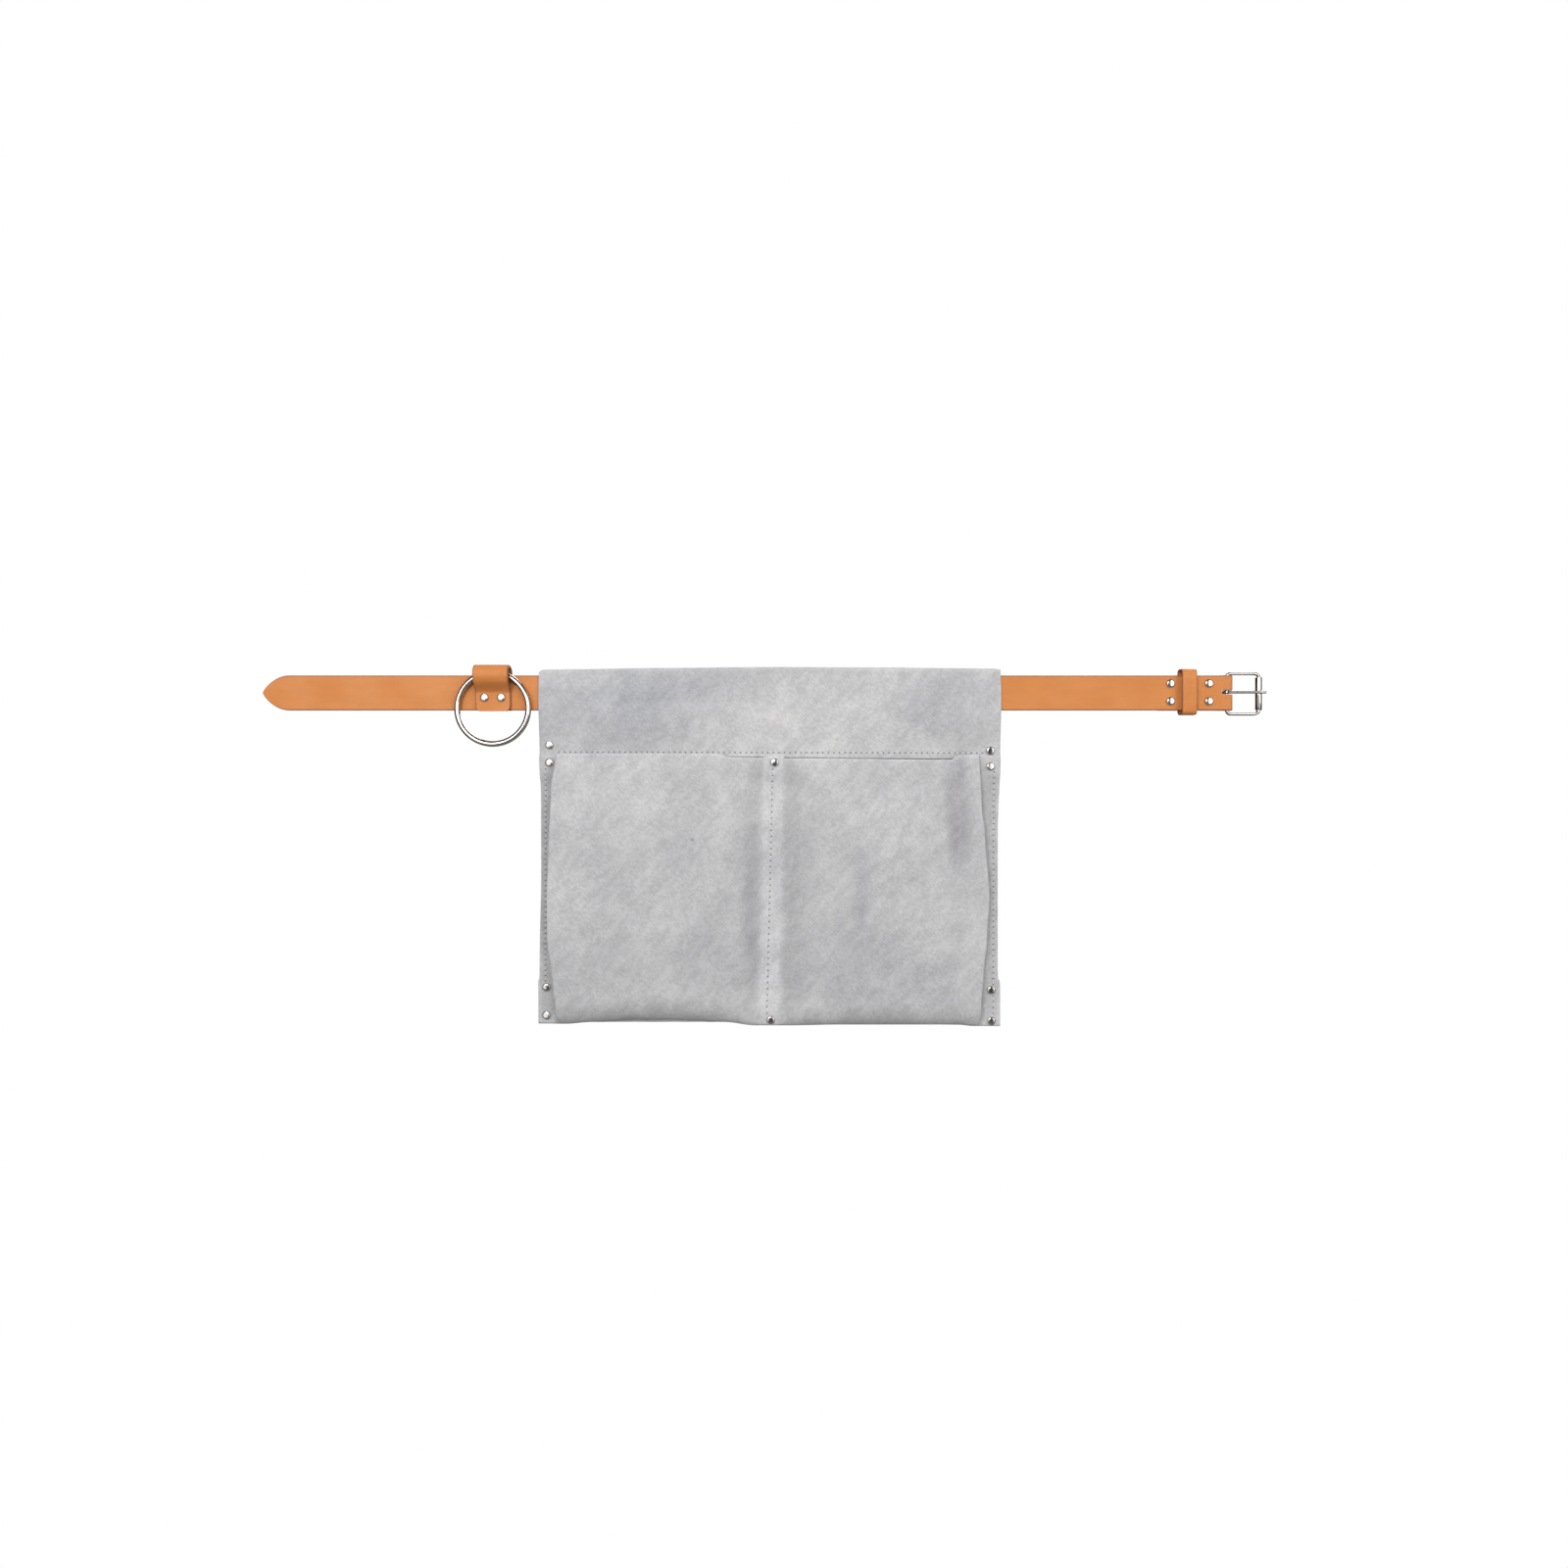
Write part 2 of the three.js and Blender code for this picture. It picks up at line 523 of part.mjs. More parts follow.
function tabPath() {
  const loop = loopRoom + STRAP_THICKNESS / 2;
  const frontY = STRAP_FRONT_Y - GAP - STRAP_THICKNESS / 2;
  const backY = STRAP_BACK_Y + GAP + STRAP_THICKNESS / 2;
  const entryZ = STRAP_HALF - LOOP_ENTRY_DROP;
  const onLoop = (angle) =>
    new THREE.Vector2(hingeY + loop * Math.cos(angle), hingeZ + loop * Math.sin(angle));
  const start = onLoop(Math.PI + LOOP_LEAD_ANGLE);
  const lead = new THREE.CubicBezierCurve(
    new THREE.Vector2(frontY, entryZ - LOOP_ENTRY_EASE),
    new THREE.Vector2(frontY, entryZ + LOOP_ENTRY_EASE),
    new THREE.Vector2(start.x + loop / 16, start.y - loop / 2),
    start,
  );
  const points = [new THREE.Vector2(frontY, -STRAP_HALF), ...lead.getPoints(8)];
  const over = 10;
  const turn = Math.PI / 2 + LOOP_LEAD_ANGLE + LOOP_LEAVE_ANGLE;
  for (let i = 1; i <= over; i += 1) {
    points.push(onLoop(Math.PI + LOOP_LEAD_ANGLE - (turn * i) / over));
  }
  const last = points[points.length - 1];
  const drop = new THREE.CubicBezierCurve(
    last,
    new THREE.Vector2(last.x + (backY - last.x) * 0.75, last.y - LOOP_ENTRY_EASE),
    new THREE.Vector2(backY, STRAP_HALF + LOOP_DROP_RISE),
    new THREE.Vector2(backY, STRAP_HALF - LOOP_ENTRY_EASE),
  );
  points.push(...drop.getPoints(6).slice(1));
  points.push(new THREE.Vector2(backY, -STRAP_HALF));
  return points;
}

const tabHoles = tabRivetX.map((x) => drill(x, tabRivetZ, HOLE_DIAMETER));
const tab = stripAcrossX(tabPath(), STRAP_THICKNESS, STRAP_WIDTH, RING_X);
addPiece('ring_tab', cut(tab, tabHoles), STRAP_FINISH);
tabRivetX.forEach((x, i) => {
  const frontY = STRAP_FRONT_Y - GAP - STRAP_THICKNESS;
  const backY = STRAP_BACK_Y + GAP + STRAP_THICKNESS;
  addRivet(`rivet_tab_${i + 1}`, x, tabRivetZ, frontY, backY);
});

// ---- apron rivets: the row each is in, its side, and the small offset of a hand-set piece ----
const LEVELS = {
  tunnel: { front: -MARGIN_DEPTH - SUEDE / 2, back: -PANEL_SET },
  mouth: { front: -OVER_FLAP_DEPTH - SUEDE / 2, back: -PANEL_SET },
  wrap: { front: -MARGIN_DEPTH - SUEDE / 2, back: GAP + SUEDE },
};
const sideX = APRON_HALF - RIVET_INSET;
const leftFootX = FOOT_RIVET_INSET - APRON_HALF;
const apronRivets = [
  ['tunnel_left', -sideX, FLAP_EDGE_Z + TUNNEL_RIVET_RISES[0], LEVELS.tunnel],
  ['tunnel_right', sideX - HAND_SET[0], FLAP_EDGE_Z + TUNNEL_RIVET_RISES[1], LEVELS.tunnel],
  ['mouth_left', -sideX, FLAP_EDGE_Z - MOUTH_RIVET_DROPS[0], LEVELS.mouth],
  ['mouth_centre', CHANNEL_TOP_X + CENTRE_RIVET_OFFSETS[0], FLAP_EDGE_Z - MOUTH_RIVET_DROPS[1], LEVELS.mouth],
  ['mouth_right', sideX - HAND_SET[0], FLAP_EDGE_Z - MOUTH_RIVET_DROPS[2], LEVELS.mouth],
  ['side_left', leftFootX, -APRON_DROP + SIDE_RIVET_RISES[0], LEVELS.wrap],
  ['side_right', sideX + HAND_SET[1], -APRON_DROP + SIDE_RIVET_RISES[1], LEVELS.wrap],
  ['foot_left', leftFootX, -APRON_DROP + FOOT_RIVET_RISES[0], LEVELS.wrap],
  ['foot_centre', CHANNEL_FOOT_X + CENTRE_RIVET_OFFSETS[1], -APRON_DROP + FOOT_RIVET_RISES[1], LEVELS.wrap],
  ['foot_right', sideX + HAND_SET[2], -APRON_DROP + FOOT_RIVET_RISES[2], LEVELS.wrap],
].map(([place, x, z, level]) => ({ name: `rivet_${place}`, x, z, level }));
const apronHoles = apronRivets.map(({ x, z }) => drill(x, z, HOLE_DIAMETER));
apronRivets.forEach(({ name, x, z, level }) => addRivet(name, x, z, level.front, level.back));

// ---- apron back: panel, top fold and tunnel flap in one hide ----
const backFootZ = -APRON_DROP + SUEDE + FOOT_ROOM;

function backPath() {
  const panelY = -SUEDE / 2;
  const flapY = STRAP_FRONT_Y - TUNNEL_SLACK - SUEDE / 2;
  const foldRadius = (panelY - flapY) / 2;
  const foldZ = STRAP_HALF + TUNNEL_HEADROOM + SUEDE / 2 - foldRadius;
  const points = [
    new THREE.Vector2(panelY - PANEL_SET, backFootZ),
    new THREE.Vector2(panelY - PANEL_SET, PANEL_SET_Z - PANEL_SET_RUN),
    new THREE.Vector2(panelY, PANEL_SET_Z),
  ];
  const foldSteps = 10;
  for (let i = 0; i <= foldSteps; i += 1) {
    const angle = (Math.PI * i) / foldSteps;
    points.push(new THREE.Vector2(
      panelY - foldRadius + foldRadius * Math.cos(angle),
      foldZ + foldRadius * Math.sin(angle),
    ));
  }
  const slope = new THREE.CubicBezierCurve(
    new THREE.Vector2(flapY, FLAP_FLAT_Z),
    new THREE.Vector2(flapY, (FLAP_FLAT_Z + FLAP_LAND_Z) / 2),
    new THREE.Vector2(-MARGIN_DEPTH, (FLAP_FLAT_Z + FLAP_LAND_Z) / 2),
    new THREE.Vector2(-MARGIN_DEPTH, FLAP_LAND_Z),
  );
  points.push(...slope.getPoints(6));
  points.push(new THREE.Vector2(-MARGIN_DEPTH, FLAP_EDGE_Z));
  return points;
}

addPiece('apron_back', cut(stripAcrossX(backPath(), SUEDE, APRON_WIDTH), apronHoles), SUEDE_FINISH);

// ---- pocket panel: the sheet's middle, across x and down its length ----
const ease = (t) => {
  const held = THREE.MathUtils.clamp(t, 0, 1);
  return held * held * (3 - 2 * held);
};
const footZ = -APRON_DROP + SUEDE / 2;
const wrapDepth = GAP + SUEDE / 2;
const bellyEndZ = footZ + FOOT_DEPTH;

function marginDepth(z) {
  const stepped = ease((STEP_START_Z - z) / (STEP_START_Z - STEP_END_Z));
  return THREE.MathUtils.lerp(OVER_FLAP_DEPTH, MARGIN_DEPTH, stepped);
}

function channelX(z) {
  return THREE.MathUtils.lerp(CHANNEL_TOP_X, CHANNEL_FOOT_X, (POCKET_TOP_Z - z) / (POCKET_TOP_Z - footZ));
}

// How far the sheet's middle stands in front of the apron's back face.
function sheetDepth(x, z) {
  const down = THREE.MathUtils.clamp((POCKET_TOP_Z - z) / (POCKET_TOP_Z - footZ), 0, 1);
  const ends = THREE.MathUtils.lerp(MOUTH_DEPTH, FOOT_DEPTH, down);
  const belly = ends + (BELLY_DEPTH - (MOUTH_DEPTH + FOOT_DEPTH) / 2) * Math.sin(Math.PI * down);
  const fold = APRON_HALF - SIDE_MARGIN + SIDE_BELLY * Math.sin(Math.PI * down) ** 2;
  const fromChannel = ease((Math.abs(x - channelX(z)) - CHANNEL_HALF) / CHANNEL_RUN);
  const fromSide = ease((fold + PLEAT_RUN - Math.abs(x)) / PLEAT_RUN);
  const margin = marginDepth(z);
  return margin + Math.max(belly - margin, 0) * fromChannel * fromSide;
}

// The sheet's middle at x, with t from 0 at the mouth, 1 where the belly ends, 1.3 where it starts to turn
// under, 2 at the foot and 3 behind it, to 4 at the end of the wrap.
function sheetPoint(x, t) {
  const turnCentre = -SUEDE / 2 - PANEL_SET;
  const wrapRadius = wrapDepth - turnCentre;
  const reach = sheetDepth(x, bellyEndZ) + turnCentre;
  const high = wrapRadius + (reach - wrapRadius) * FOOT_ROUND;
  if (t <= 1) {
    const z = THREE.MathUtils.lerp(POCKET_TOP_Z, bellyEndZ, t);
    return new THREE.Vector3(x, -sheetDepth(x, z), z);
  }
  if (t <= 1.3) {
    const z = THREE.MathUtils.lerp(bellyEndZ, footZ + high, (t - 1) / 0.3);
    return new THREE.Vector3(x, turnCentre - reach, z);
  }
  if (t <= 2) {
    const angle = (((t - 1.3) / 0.7) * Math.PI) / 2;
    return new THREE.Vector3(x, turnCentre - reach * Math.cos(angle), footZ + high - high * Math.sin(angle));
  }
  if (t <= 3) {
    const angle = ((t - 2) * Math.PI) / 2;
    const rise = wrapRadius - wrapRadius * Math.cos(angle);
    return new THREE.Vector3(x, turnCentre + wrapRadius * Math.sin(angle), footZ + rise);
  }
  return new THREE.Vector3(x, wrapDepth, THREE.MathUtils.lerp(footZ + wrapRadius, footZ + WRAP_RISE, t - 3));
}

function sheetNormal(x, t) {
  const step = 0.01;
  const acrossX = sheetPoint(x + step, t).sub(sheetPoint(x - step, t));
  const low = Math.max(t - step, 0);
  const high = Math.min(t + step, 4);
  return acrossX.cross(sheetPoint(x, high).sub(sheetPoint(x, low))).normalize();
}

function spread(from, to, count) {
  return Array.from({ length: count }, (_, i) => THREE.MathUtils.lerp(from, to, i / count));
}

function pocketPanel() {
  const edge = APRON_HALF + WRAP_OVERHANG;
  const pleatOut = APRON_HALF - SIDE_MARGIN + PLEAT_RUN + SIDE_BELLY;
  const pleatIn = APRON_HALF - SIDE_MARGIN;
  const half = [
    ...spread(0, CHANNEL_HALF, 2),
    ...spread(CHANNEL_HALF, CHANNEL_HALF + CHANNEL_RUN, 5),
    ...spread(CHANNEL_HALF + CHANNEL_RUN, pleatIn, 3),
    ...spread(pleatIn, pleatOut, 9),
    pleatOut,
    edge,
  ];
  const across = [...half.slice(1).map((x) => -x).reverse(), ...half];
  const levels = [
    POCKET_TOP_Z,
    STEP_START_Z,
    (STEP_START_Z + STEP_END_Z) / 2,
    ...spread(STEP_END_Z, bellyEndZ, 7),
  ];
  const front = levels.map((z) => (POCKET_TOP_Z - z) / (POCKET_TOP_Z - bellyEndZ));
  const down = [...front, 1, ...spread(1.3, 2, 4), ...spread(2, 3, 3), 3, 4];
  const geometry = new THREE.BoxGeometry(1, 1, 1, across.length - 1, 1, down.length - 1);
  const position = geometry.attributes.position;
  for (let i = 0; i < position.count; i += 1) {
    const column = Math.round((position.getX(i) + 0.5) * (across.length - 1));
    const row = Math.round((0.5 - position.getZ(i)) * (down.length - 1));
    const x = across[column];
    const t = down[row];
    const offset = sheetNormal(x, t).multiplyScalar(Math.sign(position.getY(i)) * (SUEDE / 2));
    const point = sheetPoint(x, t).add(offset);
    position.setXYZ(i, point.x, point.y, point.z);
  }
  return geometry;
}

addPiece('pocket_panel', cut(pocketPanel(), apronHoles), SUEDE_FINISH);

// ---- seams ----
const threadLift = SUEDE / 2 + SEAM_LIFT + THREAD / 2;

function addSeam(name, topX, topZ, endX, endZ) {
  const steps = 10;
  const points = spread(0, 1, steps).concat(1).map((t) => {
    const z = THREE.MathUtils.lerp(topZ, endZ, t);
    return new THREE.Vector3(THREE.MathUtils.lerp(topX, endX, t), -marginDepth(z) - threadLift, z);
  });
  addPiece(name, wireAlong(new THREE.CatmullRomCurve3(points), THREAD, 6, steps), THREAD_FINISH);
}

const byName = Object.fromEntries(apronRivets.map((rivet) => [rivet.name, rivet]));
const besideRivet = CAP_DIAMETER / 2 + SEAM_RIVET_GAP;
const seamX = APRON_HALF - SIDE_SEAM_INSET;
const tunnelSeamHalf = APRON_HALF - TUNNEL_SEAM_INSET;
const tunnelSeamY = -MARGIN_DEPTH - threadLift;
const tunnelSeamZ = FLAP_EDGE_Z + TUNNEL_SEAM_RISE;
const tunnelSeam = new THREE.LineCurve3(
  new THREE.Vector3(-tunnelSeamHalf, tunnelSeamY, tunnelSeamZ),
  new THREE.Vector3(tunnelSeamHalf, tunnelSeamY, tunnelSeamZ),
);
addPiece('thread_tunnel', wireAlong(tunnelSeam, THREAD, 6, 1), THREAD_FINISH);
addSeam(
  'thread_left',
  -seamX,
  byName.rivet_mouth_left.z - besideRivet,
  -seamX,
  byName.rivet_side_left.z + besideRivet,
);
addSeam(
  'thread_right',
  seamX,
  byName.rivet_mouth_right.z - besideRivet,
  seamX,
  byName.rivet_side_right.z + besideRivet,
);
addSeam(
  'thread_centre',
  CHANNEL_TOP_X + CENTRE_SEAM_OFFSETS[0],
  byName.rivet_mouth_centre.z - besideRivet,
  CHANNEL_FOOT_X + CENTRE_SEAM_OFFSETS[1],
  byName.rivet_foot_centre.z + besideRivet,
);

export default pieces;
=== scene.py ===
"""A suede waist apron on a buckled leather belt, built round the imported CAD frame.

Lengths in the dataclass fields are millimetres. Meshes are in metres, in the CAD's own frame: +X towards the
buckle, +Y towards the wearer and +Z up.
"""
import json
import logging
import math
from dataclasses import dataclass, field
from enum import Enum
from typing import Any, Callable, Iterable, Sequence

import bmesh
import bpy
from mathutils import Matrix, Vector, noise


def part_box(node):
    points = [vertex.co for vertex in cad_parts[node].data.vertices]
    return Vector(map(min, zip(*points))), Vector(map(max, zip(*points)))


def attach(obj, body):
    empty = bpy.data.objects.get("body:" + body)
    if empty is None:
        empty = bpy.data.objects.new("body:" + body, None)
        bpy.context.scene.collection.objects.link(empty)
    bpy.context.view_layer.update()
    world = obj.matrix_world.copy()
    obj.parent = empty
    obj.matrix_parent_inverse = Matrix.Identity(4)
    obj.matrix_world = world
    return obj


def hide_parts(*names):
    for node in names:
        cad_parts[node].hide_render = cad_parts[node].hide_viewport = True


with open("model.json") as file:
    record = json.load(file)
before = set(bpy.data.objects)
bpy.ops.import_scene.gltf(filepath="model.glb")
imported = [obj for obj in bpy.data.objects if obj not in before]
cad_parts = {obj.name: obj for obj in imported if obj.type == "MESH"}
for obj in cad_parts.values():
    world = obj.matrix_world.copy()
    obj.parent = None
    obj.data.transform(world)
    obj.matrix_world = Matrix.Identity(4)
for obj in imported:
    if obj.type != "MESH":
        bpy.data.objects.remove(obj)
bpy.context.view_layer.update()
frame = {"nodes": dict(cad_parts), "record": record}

MM = 0.001
LOG = logging.getLogger("apron")

Point = tuple[float, float]
Profile = Sequence[Point]


# ---------------------------------------------------------------- numbers and curves


def ease(value: float) -> float:
    """Returns a smooth step of a value held between 0 and 1."""
    held = min(max(value, 0.0), 1.0)
    return held * held * (3.0 - 2.0 * held)


def lerp(start: float, end: float, share: float) -> float:
    """Returns the value a share of the way from start to end."""
    return start + (end - start) * share


def along_profile(profile: Profile, at: float) -> float:
    """Reads a smooth line through a few measured stations.

    Args:
        profile: Stations as (place, value), in falling or rising order of place.
        at: The place to read.

    Returns:
        The value there, held at the first and last station's.
    """
    rising = sorted(profile)
    if at <= rising[0][0]:
        return rising[0][1]
    for (place, value), (further, following) in zip(rising, rising[1:]):
        if at <= further:
            return lerp(value, following, ease((at - place) / (further - place)))
    return rising[-1][1]


def spread(start: float, end: float, count: int) -> list[float]:
    """Returns count even steps from start up to, and not counting, end."""
    return [lerp(start, end, i / count) for i in range(count)]


def smooth_path(points: Sequence[Vector], steps: int) -> list[Vector]:
    """Draws a smooth curve through points.

    Args:
        points: The points that it passes through.
        steps: Stretches between each two of them.

    Returns:
        The curve's stations, first and last point included.
    """
    path = []
    for i in range(len(points) - 1):
        before = points[max(i - 1, 0)]
        start, end = points[i], points[i + 1]
        after = points[min(i + 2, len(points) - 1)]
        for k in range(steps):
            t = k / steps
            path.append(
                0.5
                * (
                    2 * start
                    + (end - before) * t
                    + (2 * before - 5 * start + 4 * end - after) * t * t
                    + (3 * start - before - 3 * end + after) * t ** 3
                )
            )
    path.append(points[-1].copy())
    return path


def ripple(x: float, z: float, reach: float, seed: float) -> float:
    """Returns slow noise from -1 to 1 at a point of a hide, with waves of about the given reach in mm."""
    return noise.noise(Vector((x / reach, seed, z / reach)))


def furrow(x: float, z: float, start: Point, end: Point, half: float) -> float:
    """Gives the depth share of a soft furrow between two points.

    Args:
        x: Across the hide, in mm.
        z: Up the hide, in mm.
        start: One end of the furrow.
        end: Its other end.
        half: Its half width.

    Returns:
        1 along its middle, falling to 0 at its half width and towards its ends.
    """
    run = Vector((end[0] - start[0], end[1] - start[1]))
    place = Vector((x - start[0], z - start[1]))
    share = place.dot(run) / run.length_squared
    off = abs(place.x * run.y - place.y * run.x) / run.length
    return (1.0 - ease(off / half)) * ease(share * 4.0) * ease((1.0 - share) * 4.0)


# ---------------------------------------------------------------- meshes


@dataclass(frozen=True)
class Extent:
    """A CAD node's box at rest, in metres."""

    low: Vector
    high: Vector

    @classmethod
    def of(cls, node: str) -> "Extent":
        """Returns the box of the named CAD node."""
        low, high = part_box(node)
        return cls(Vector(low), Vector(high))

    @property
    def centre(self) -> Vector:
        """Returns the box's middle."""
        return (self.low + self.high) / 2

    @property
    def size(self) -> Vector:
        """Returns the box's three sides."""
        return self.high - self.low


class Section:
    """A closed outline that is carried along a path, with a wear value on each corner."""

    def __init__(self, points: Sequence[Vector], wear_and_shading: Sequence[float] | None = None) -> None:
        """Keeps the outline.

        Args:
            points: Its corners, in its own XY plane, in metres.
            wear_and_shading: 1 where the piece is cut or burnished, 0 where it is whole.
        """
        self.points = list(points)
        self.wear_and_shading = list(wear_and_shading) if wear_and_shading is not None else [0.0] * len(self.points)

    @classmethod
    def round_wire(cls, diameter: float, sides: int, flat: float = 1.0) -> "Section":
        """Makes a round or slightly flattened section.

        Args:
            diameter: Across it, in mm.
            sides: Corners round it.
            flat: Its height as a share of its width.

        Returns:
            The section.
        """
        radius = diameter / 2 * MM
        turn = 2 * math.pi / sides
        points = [
            Vector((radius * math.cos(i * turn), radius * flat * math.sin(i * turn), 0)) for i in range(sides)
        ]
        return cls(points)

    @classmethod
    def strip(cls, width: float, thickness: float, corner: float = 0.7, rim: float = 2.0) -> "Section":
        """Makes a leather strip's section: flat faces, and edges rounded by the edging tool.

        Args:
            width: Across it, in mm.
            thickness: Through it.
            corner: The edges' rounding.
            rim: How far in from the edge the burnishing shows.

        Returns:
            The section.
        """
        points, wear_and_shading = [], []
        steps = 3
        for quarter in range(4):
            sign_x = 1 if quarter in (0, 3) else -1
            sign_y = 1 if quarter in (0, 1) else -1
            middle = Vector((sign_x * (width / 2 - corner), sign_y * (thickness / 2 - corner), 0))
            arc = []
            for i in range(steps + 1):
                angle = math.pi / 2 * (quarter + i / steps)
                arc.append((middle + Vector((math.cos(angle), math.sin(angle), 0)) * corner, 1.0))
            inner = [
                (Vector((sign_x * (width / 2 - rim * share), sign_y * thickness / 2, 0)), value)
                for share, value in ((0.6, 0.55), (1.0, 0.0))
            ]
            ordered = arc + inner if sign_x == sign_y else inner[::-1] + arc
            points += [point * MM for point, _ in ordered]
            wear_and_shading += [value for _, value in ordered]
        return cls(points, wear_and_shading)


class Shape:
    """A mesh in the making, with the ways of shaping that this object's pieces share."""

    def __init__(self) -> None:
        """Starts an empty mesh."""
        self.mesh = bmesh.new()
        # the per-vertex layer carries the strap's burnished edges and the pocket hide's painted light and
        # shade
        self.wear_and_shading_layer = self.mesh.verts.layers.float.new("wear_and_shading")

    def sweep(self, section: Section, stations: Sequence[Matrix], closed: bool = False) -> "Shape":
        """Carries a section along stations.

        Args:
            section: The outline.
            stations: Where it stands, one placing each.
            closed: Whether the last station meets the first.

        Returns:
            This shape.
        """
        count = len(section.points)
        ring = [self.mesh.verts.new(stations[0] @ point) for point in section.points]
        for corner, value in zip(ring, section.wear_and_shading):
            corner[self.wear_and_shading_layer] = value
        first = [self.mesh.edges.new((ring[i], ring[(i + 1) % count])) for i in range(count)]
        edges = first
        for before, after in zip(stations, stations[1:]):
            made = bmesh.ops.extrude_edge_only(self.mesh, edges=edges)["geom"]
            corners = [item for item in made if isinstance(item, bmesh.types.BMVert)]
            edges = [item for item in made if isinstance(item, bmesh.types.BMEdge) and item.is_boundary]
            bmesh.ops.transform(self.mesh, matrix=after @ before.inverted(), verts=corners)
        if closed:
            bmesh.ops.bridge_loops(self.mesh, edges=first + edges)
        else:
            for end in (first, edges):
                bmesh.ops.contextual_create(self.mesh, geom=end)
        return self

    def turn(self, profile: Profile, centre: Vector, axis: Vector, steps: int) -> "Shape":
        """Spins a profile into a closed round piece.

        Args:
            profile: Stations as (radius, place along the axis), in mm.
            centre: The axis's point of place 0.
            axis: The axis's direction.
            steps: Facets round it.

        Returns:
            This shape.
        """
        out = axis.orthogonal().normalized()
        places = [centre + (out * radius + axis * place) * MM for radius, place in profile]
        corners = [self.mesh.verts.new(place) for place in places]
        lines = [self.mesh.edges.new(pair) for pair in zip(corners, corners[1:])]
        bmesh.ops.spin(
            self.mesh,
            geom=corners + lines,
            cent=centre,
            axis=axis,
            angle=2 * math.pi,
            steps=steps,
            use_merge=True,
        )
        return self

    def close(self) -> "Shape":
        """Merges doubles and turns every face outwards."""
        bmesh.ops.remove_doubles(self.mesh, verts=self.mesh.verts[:], dist=1e-6)
        bmesh.ops.dissolve_degenerate(self.mesh, edges=self.mesh.edges[:], dist=1e-7)
        bmesh.ops.recalc_face_normals(self.mesh, faces=self.mesh.faces[:])
        return self

    def soften(self, sharp: float = 40.0) -> "Shape":
        """Shades the faces smooth and keeps the edges over a number of degrees sharp."""
        for face in self.mesh.faces:
            face.smooth = True
        for edge in self.mesh.edges:
            edge.smooth = len(edge.link_faces) < 2 or edge.calc_face_angle(0.0) < math.radians(sharp)
        return self

    def piece(self, name: str, materials: Sequence[bpy.types.Material]) -> bpy.types.Object:
        """Makes the finished object.

        Args:
            name: Its name.
            materials: Its material slots, in order.

        Returns:
            The object, at the origin.
        """
        data = bpy.data.meshes.new(name)
        self.mesh.to_mesh(data)
        self.mesh.free()
        made = bpy.data.objects.new(name, data)
        bpy.context.scene.collection.objects.link(made)
        for material in materials:
            data.materials.append(material)
        return made


def settle(piece: bpy.types.Object, body: "Body", slot: "Slot", *nodes: str) -> None:
    """Hangs a finished piece on its body in place of its CAD nodes, and reports it.

    Args:
        piece: The piece.
        body: What it rides on.
        slot: The record's slot that its finish is; not used.
        nodes: The CAD nodes that it stands for.
    """
    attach(piece, body.value)
    if nodes:
        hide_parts(*nodes)
    LOG.info("%s on %s, %d faces", piece.name, body.value, len(piece.data.polygons))


def apply_modifiers(piece: bpy.types.Object) -> None:
    """Keeps the shape that the piece's modifiers give, and removes them."""
    graph = bpy.context.evaluated_depsgraph_get()
    made = bpy.data.meshes.new_from_object(piece.evaluated_get(graph))
    old = piece.data
    piece.modifiers.clear()
    piece.data = made
    made.name = piece.name
    bpy.data.meshes.remove(old)


def strip_stations(
    path: Sequence[Vector], side: Vector, widths: Sequence[float] | None = None
) -> list[Matrix]:
    """Places a strip's section along a path.

    Args:
        path: The middle of the strip, in metres.
        side: The direction of its width.
        widths: The share of its width at each point, if it changes.

    Returns:
        One placing for each point.
    """
    stations = []
    for i, point in enumerate(path):
        ahead = (path[min(i + 1, len(path) - 1)] - path[max(i - 1, 0)]).normalized()
        face = ahead.cross(side).normalized()
        across = side * (widths[i] if widths else 1.0)
        placed = Matrix((across, face, ahead)).transposed().to_4x4()
        placed.translation = point
        stations.append(placed)
    return stations


def wire_stations(
    path: Sequence[Vector], side: Vector, scales: Sequence[float] | None = None
) -> list[Matrix]:
    """Places a wire's section along a path that lies square to a direction.

    Args:
        path: The wire's middle.
        side: The direction square to its bends.
        scales: Its thickness at each point, as a share, if it changes.

    Returns:
        One placing for each point.
    """
    stations = strip_stations(path, side)
    if scales:
        for placed, scale in zip(stations, scales):
            middle = placed.translation.copy()
            placed @= Matrix.Diagonal((scale, scale, 1.0, 1.0))
            placed.translation = middle
    return stations


def ring_station(out: Vector, place: Vector, scale: float = 1.0) -> Matrix:
    """Places a section in a ring or frame that lies in the XZ plane.

    Args:
        out: The direction away from the ring's middle.
        place: The wire's middle, in metres.
        scale: The wire's thickness there, as a share.

    Returns:
        The placing.
    """
    depth = Vector((0, 1, 0))
    placed = Matrix((out * scale, depth * scale, out.cross(depth))).transposed().to_4x4()
    placed.translation = place
    return placed


# ---------------------------------------------------------------- names


class Body(Enum):
    """The CAD bodies that pieces ride on."""

    APRON = "apron"
    BELT = "belt"
    RING = "ring"
    KEEPER = "keeper_loop"
    FRAME = "frame"
    ROLLER = "roller"
    TONGUE = "tongue"


class Slot(Enum):
    """The record's material slots."""

    SUEDE = "suede"
    STRAP = "strap_leather"
    NICKEL = "polished_nickel"
    RIVET = "rivet_nickel"
    THREAD = "seam_thread"


class Side(Enum):
    """The two sides of the apron, as signs along X."""

    LEFT = -1
    RIGHT = 1


# ---------------------------------------------------------------- finishes


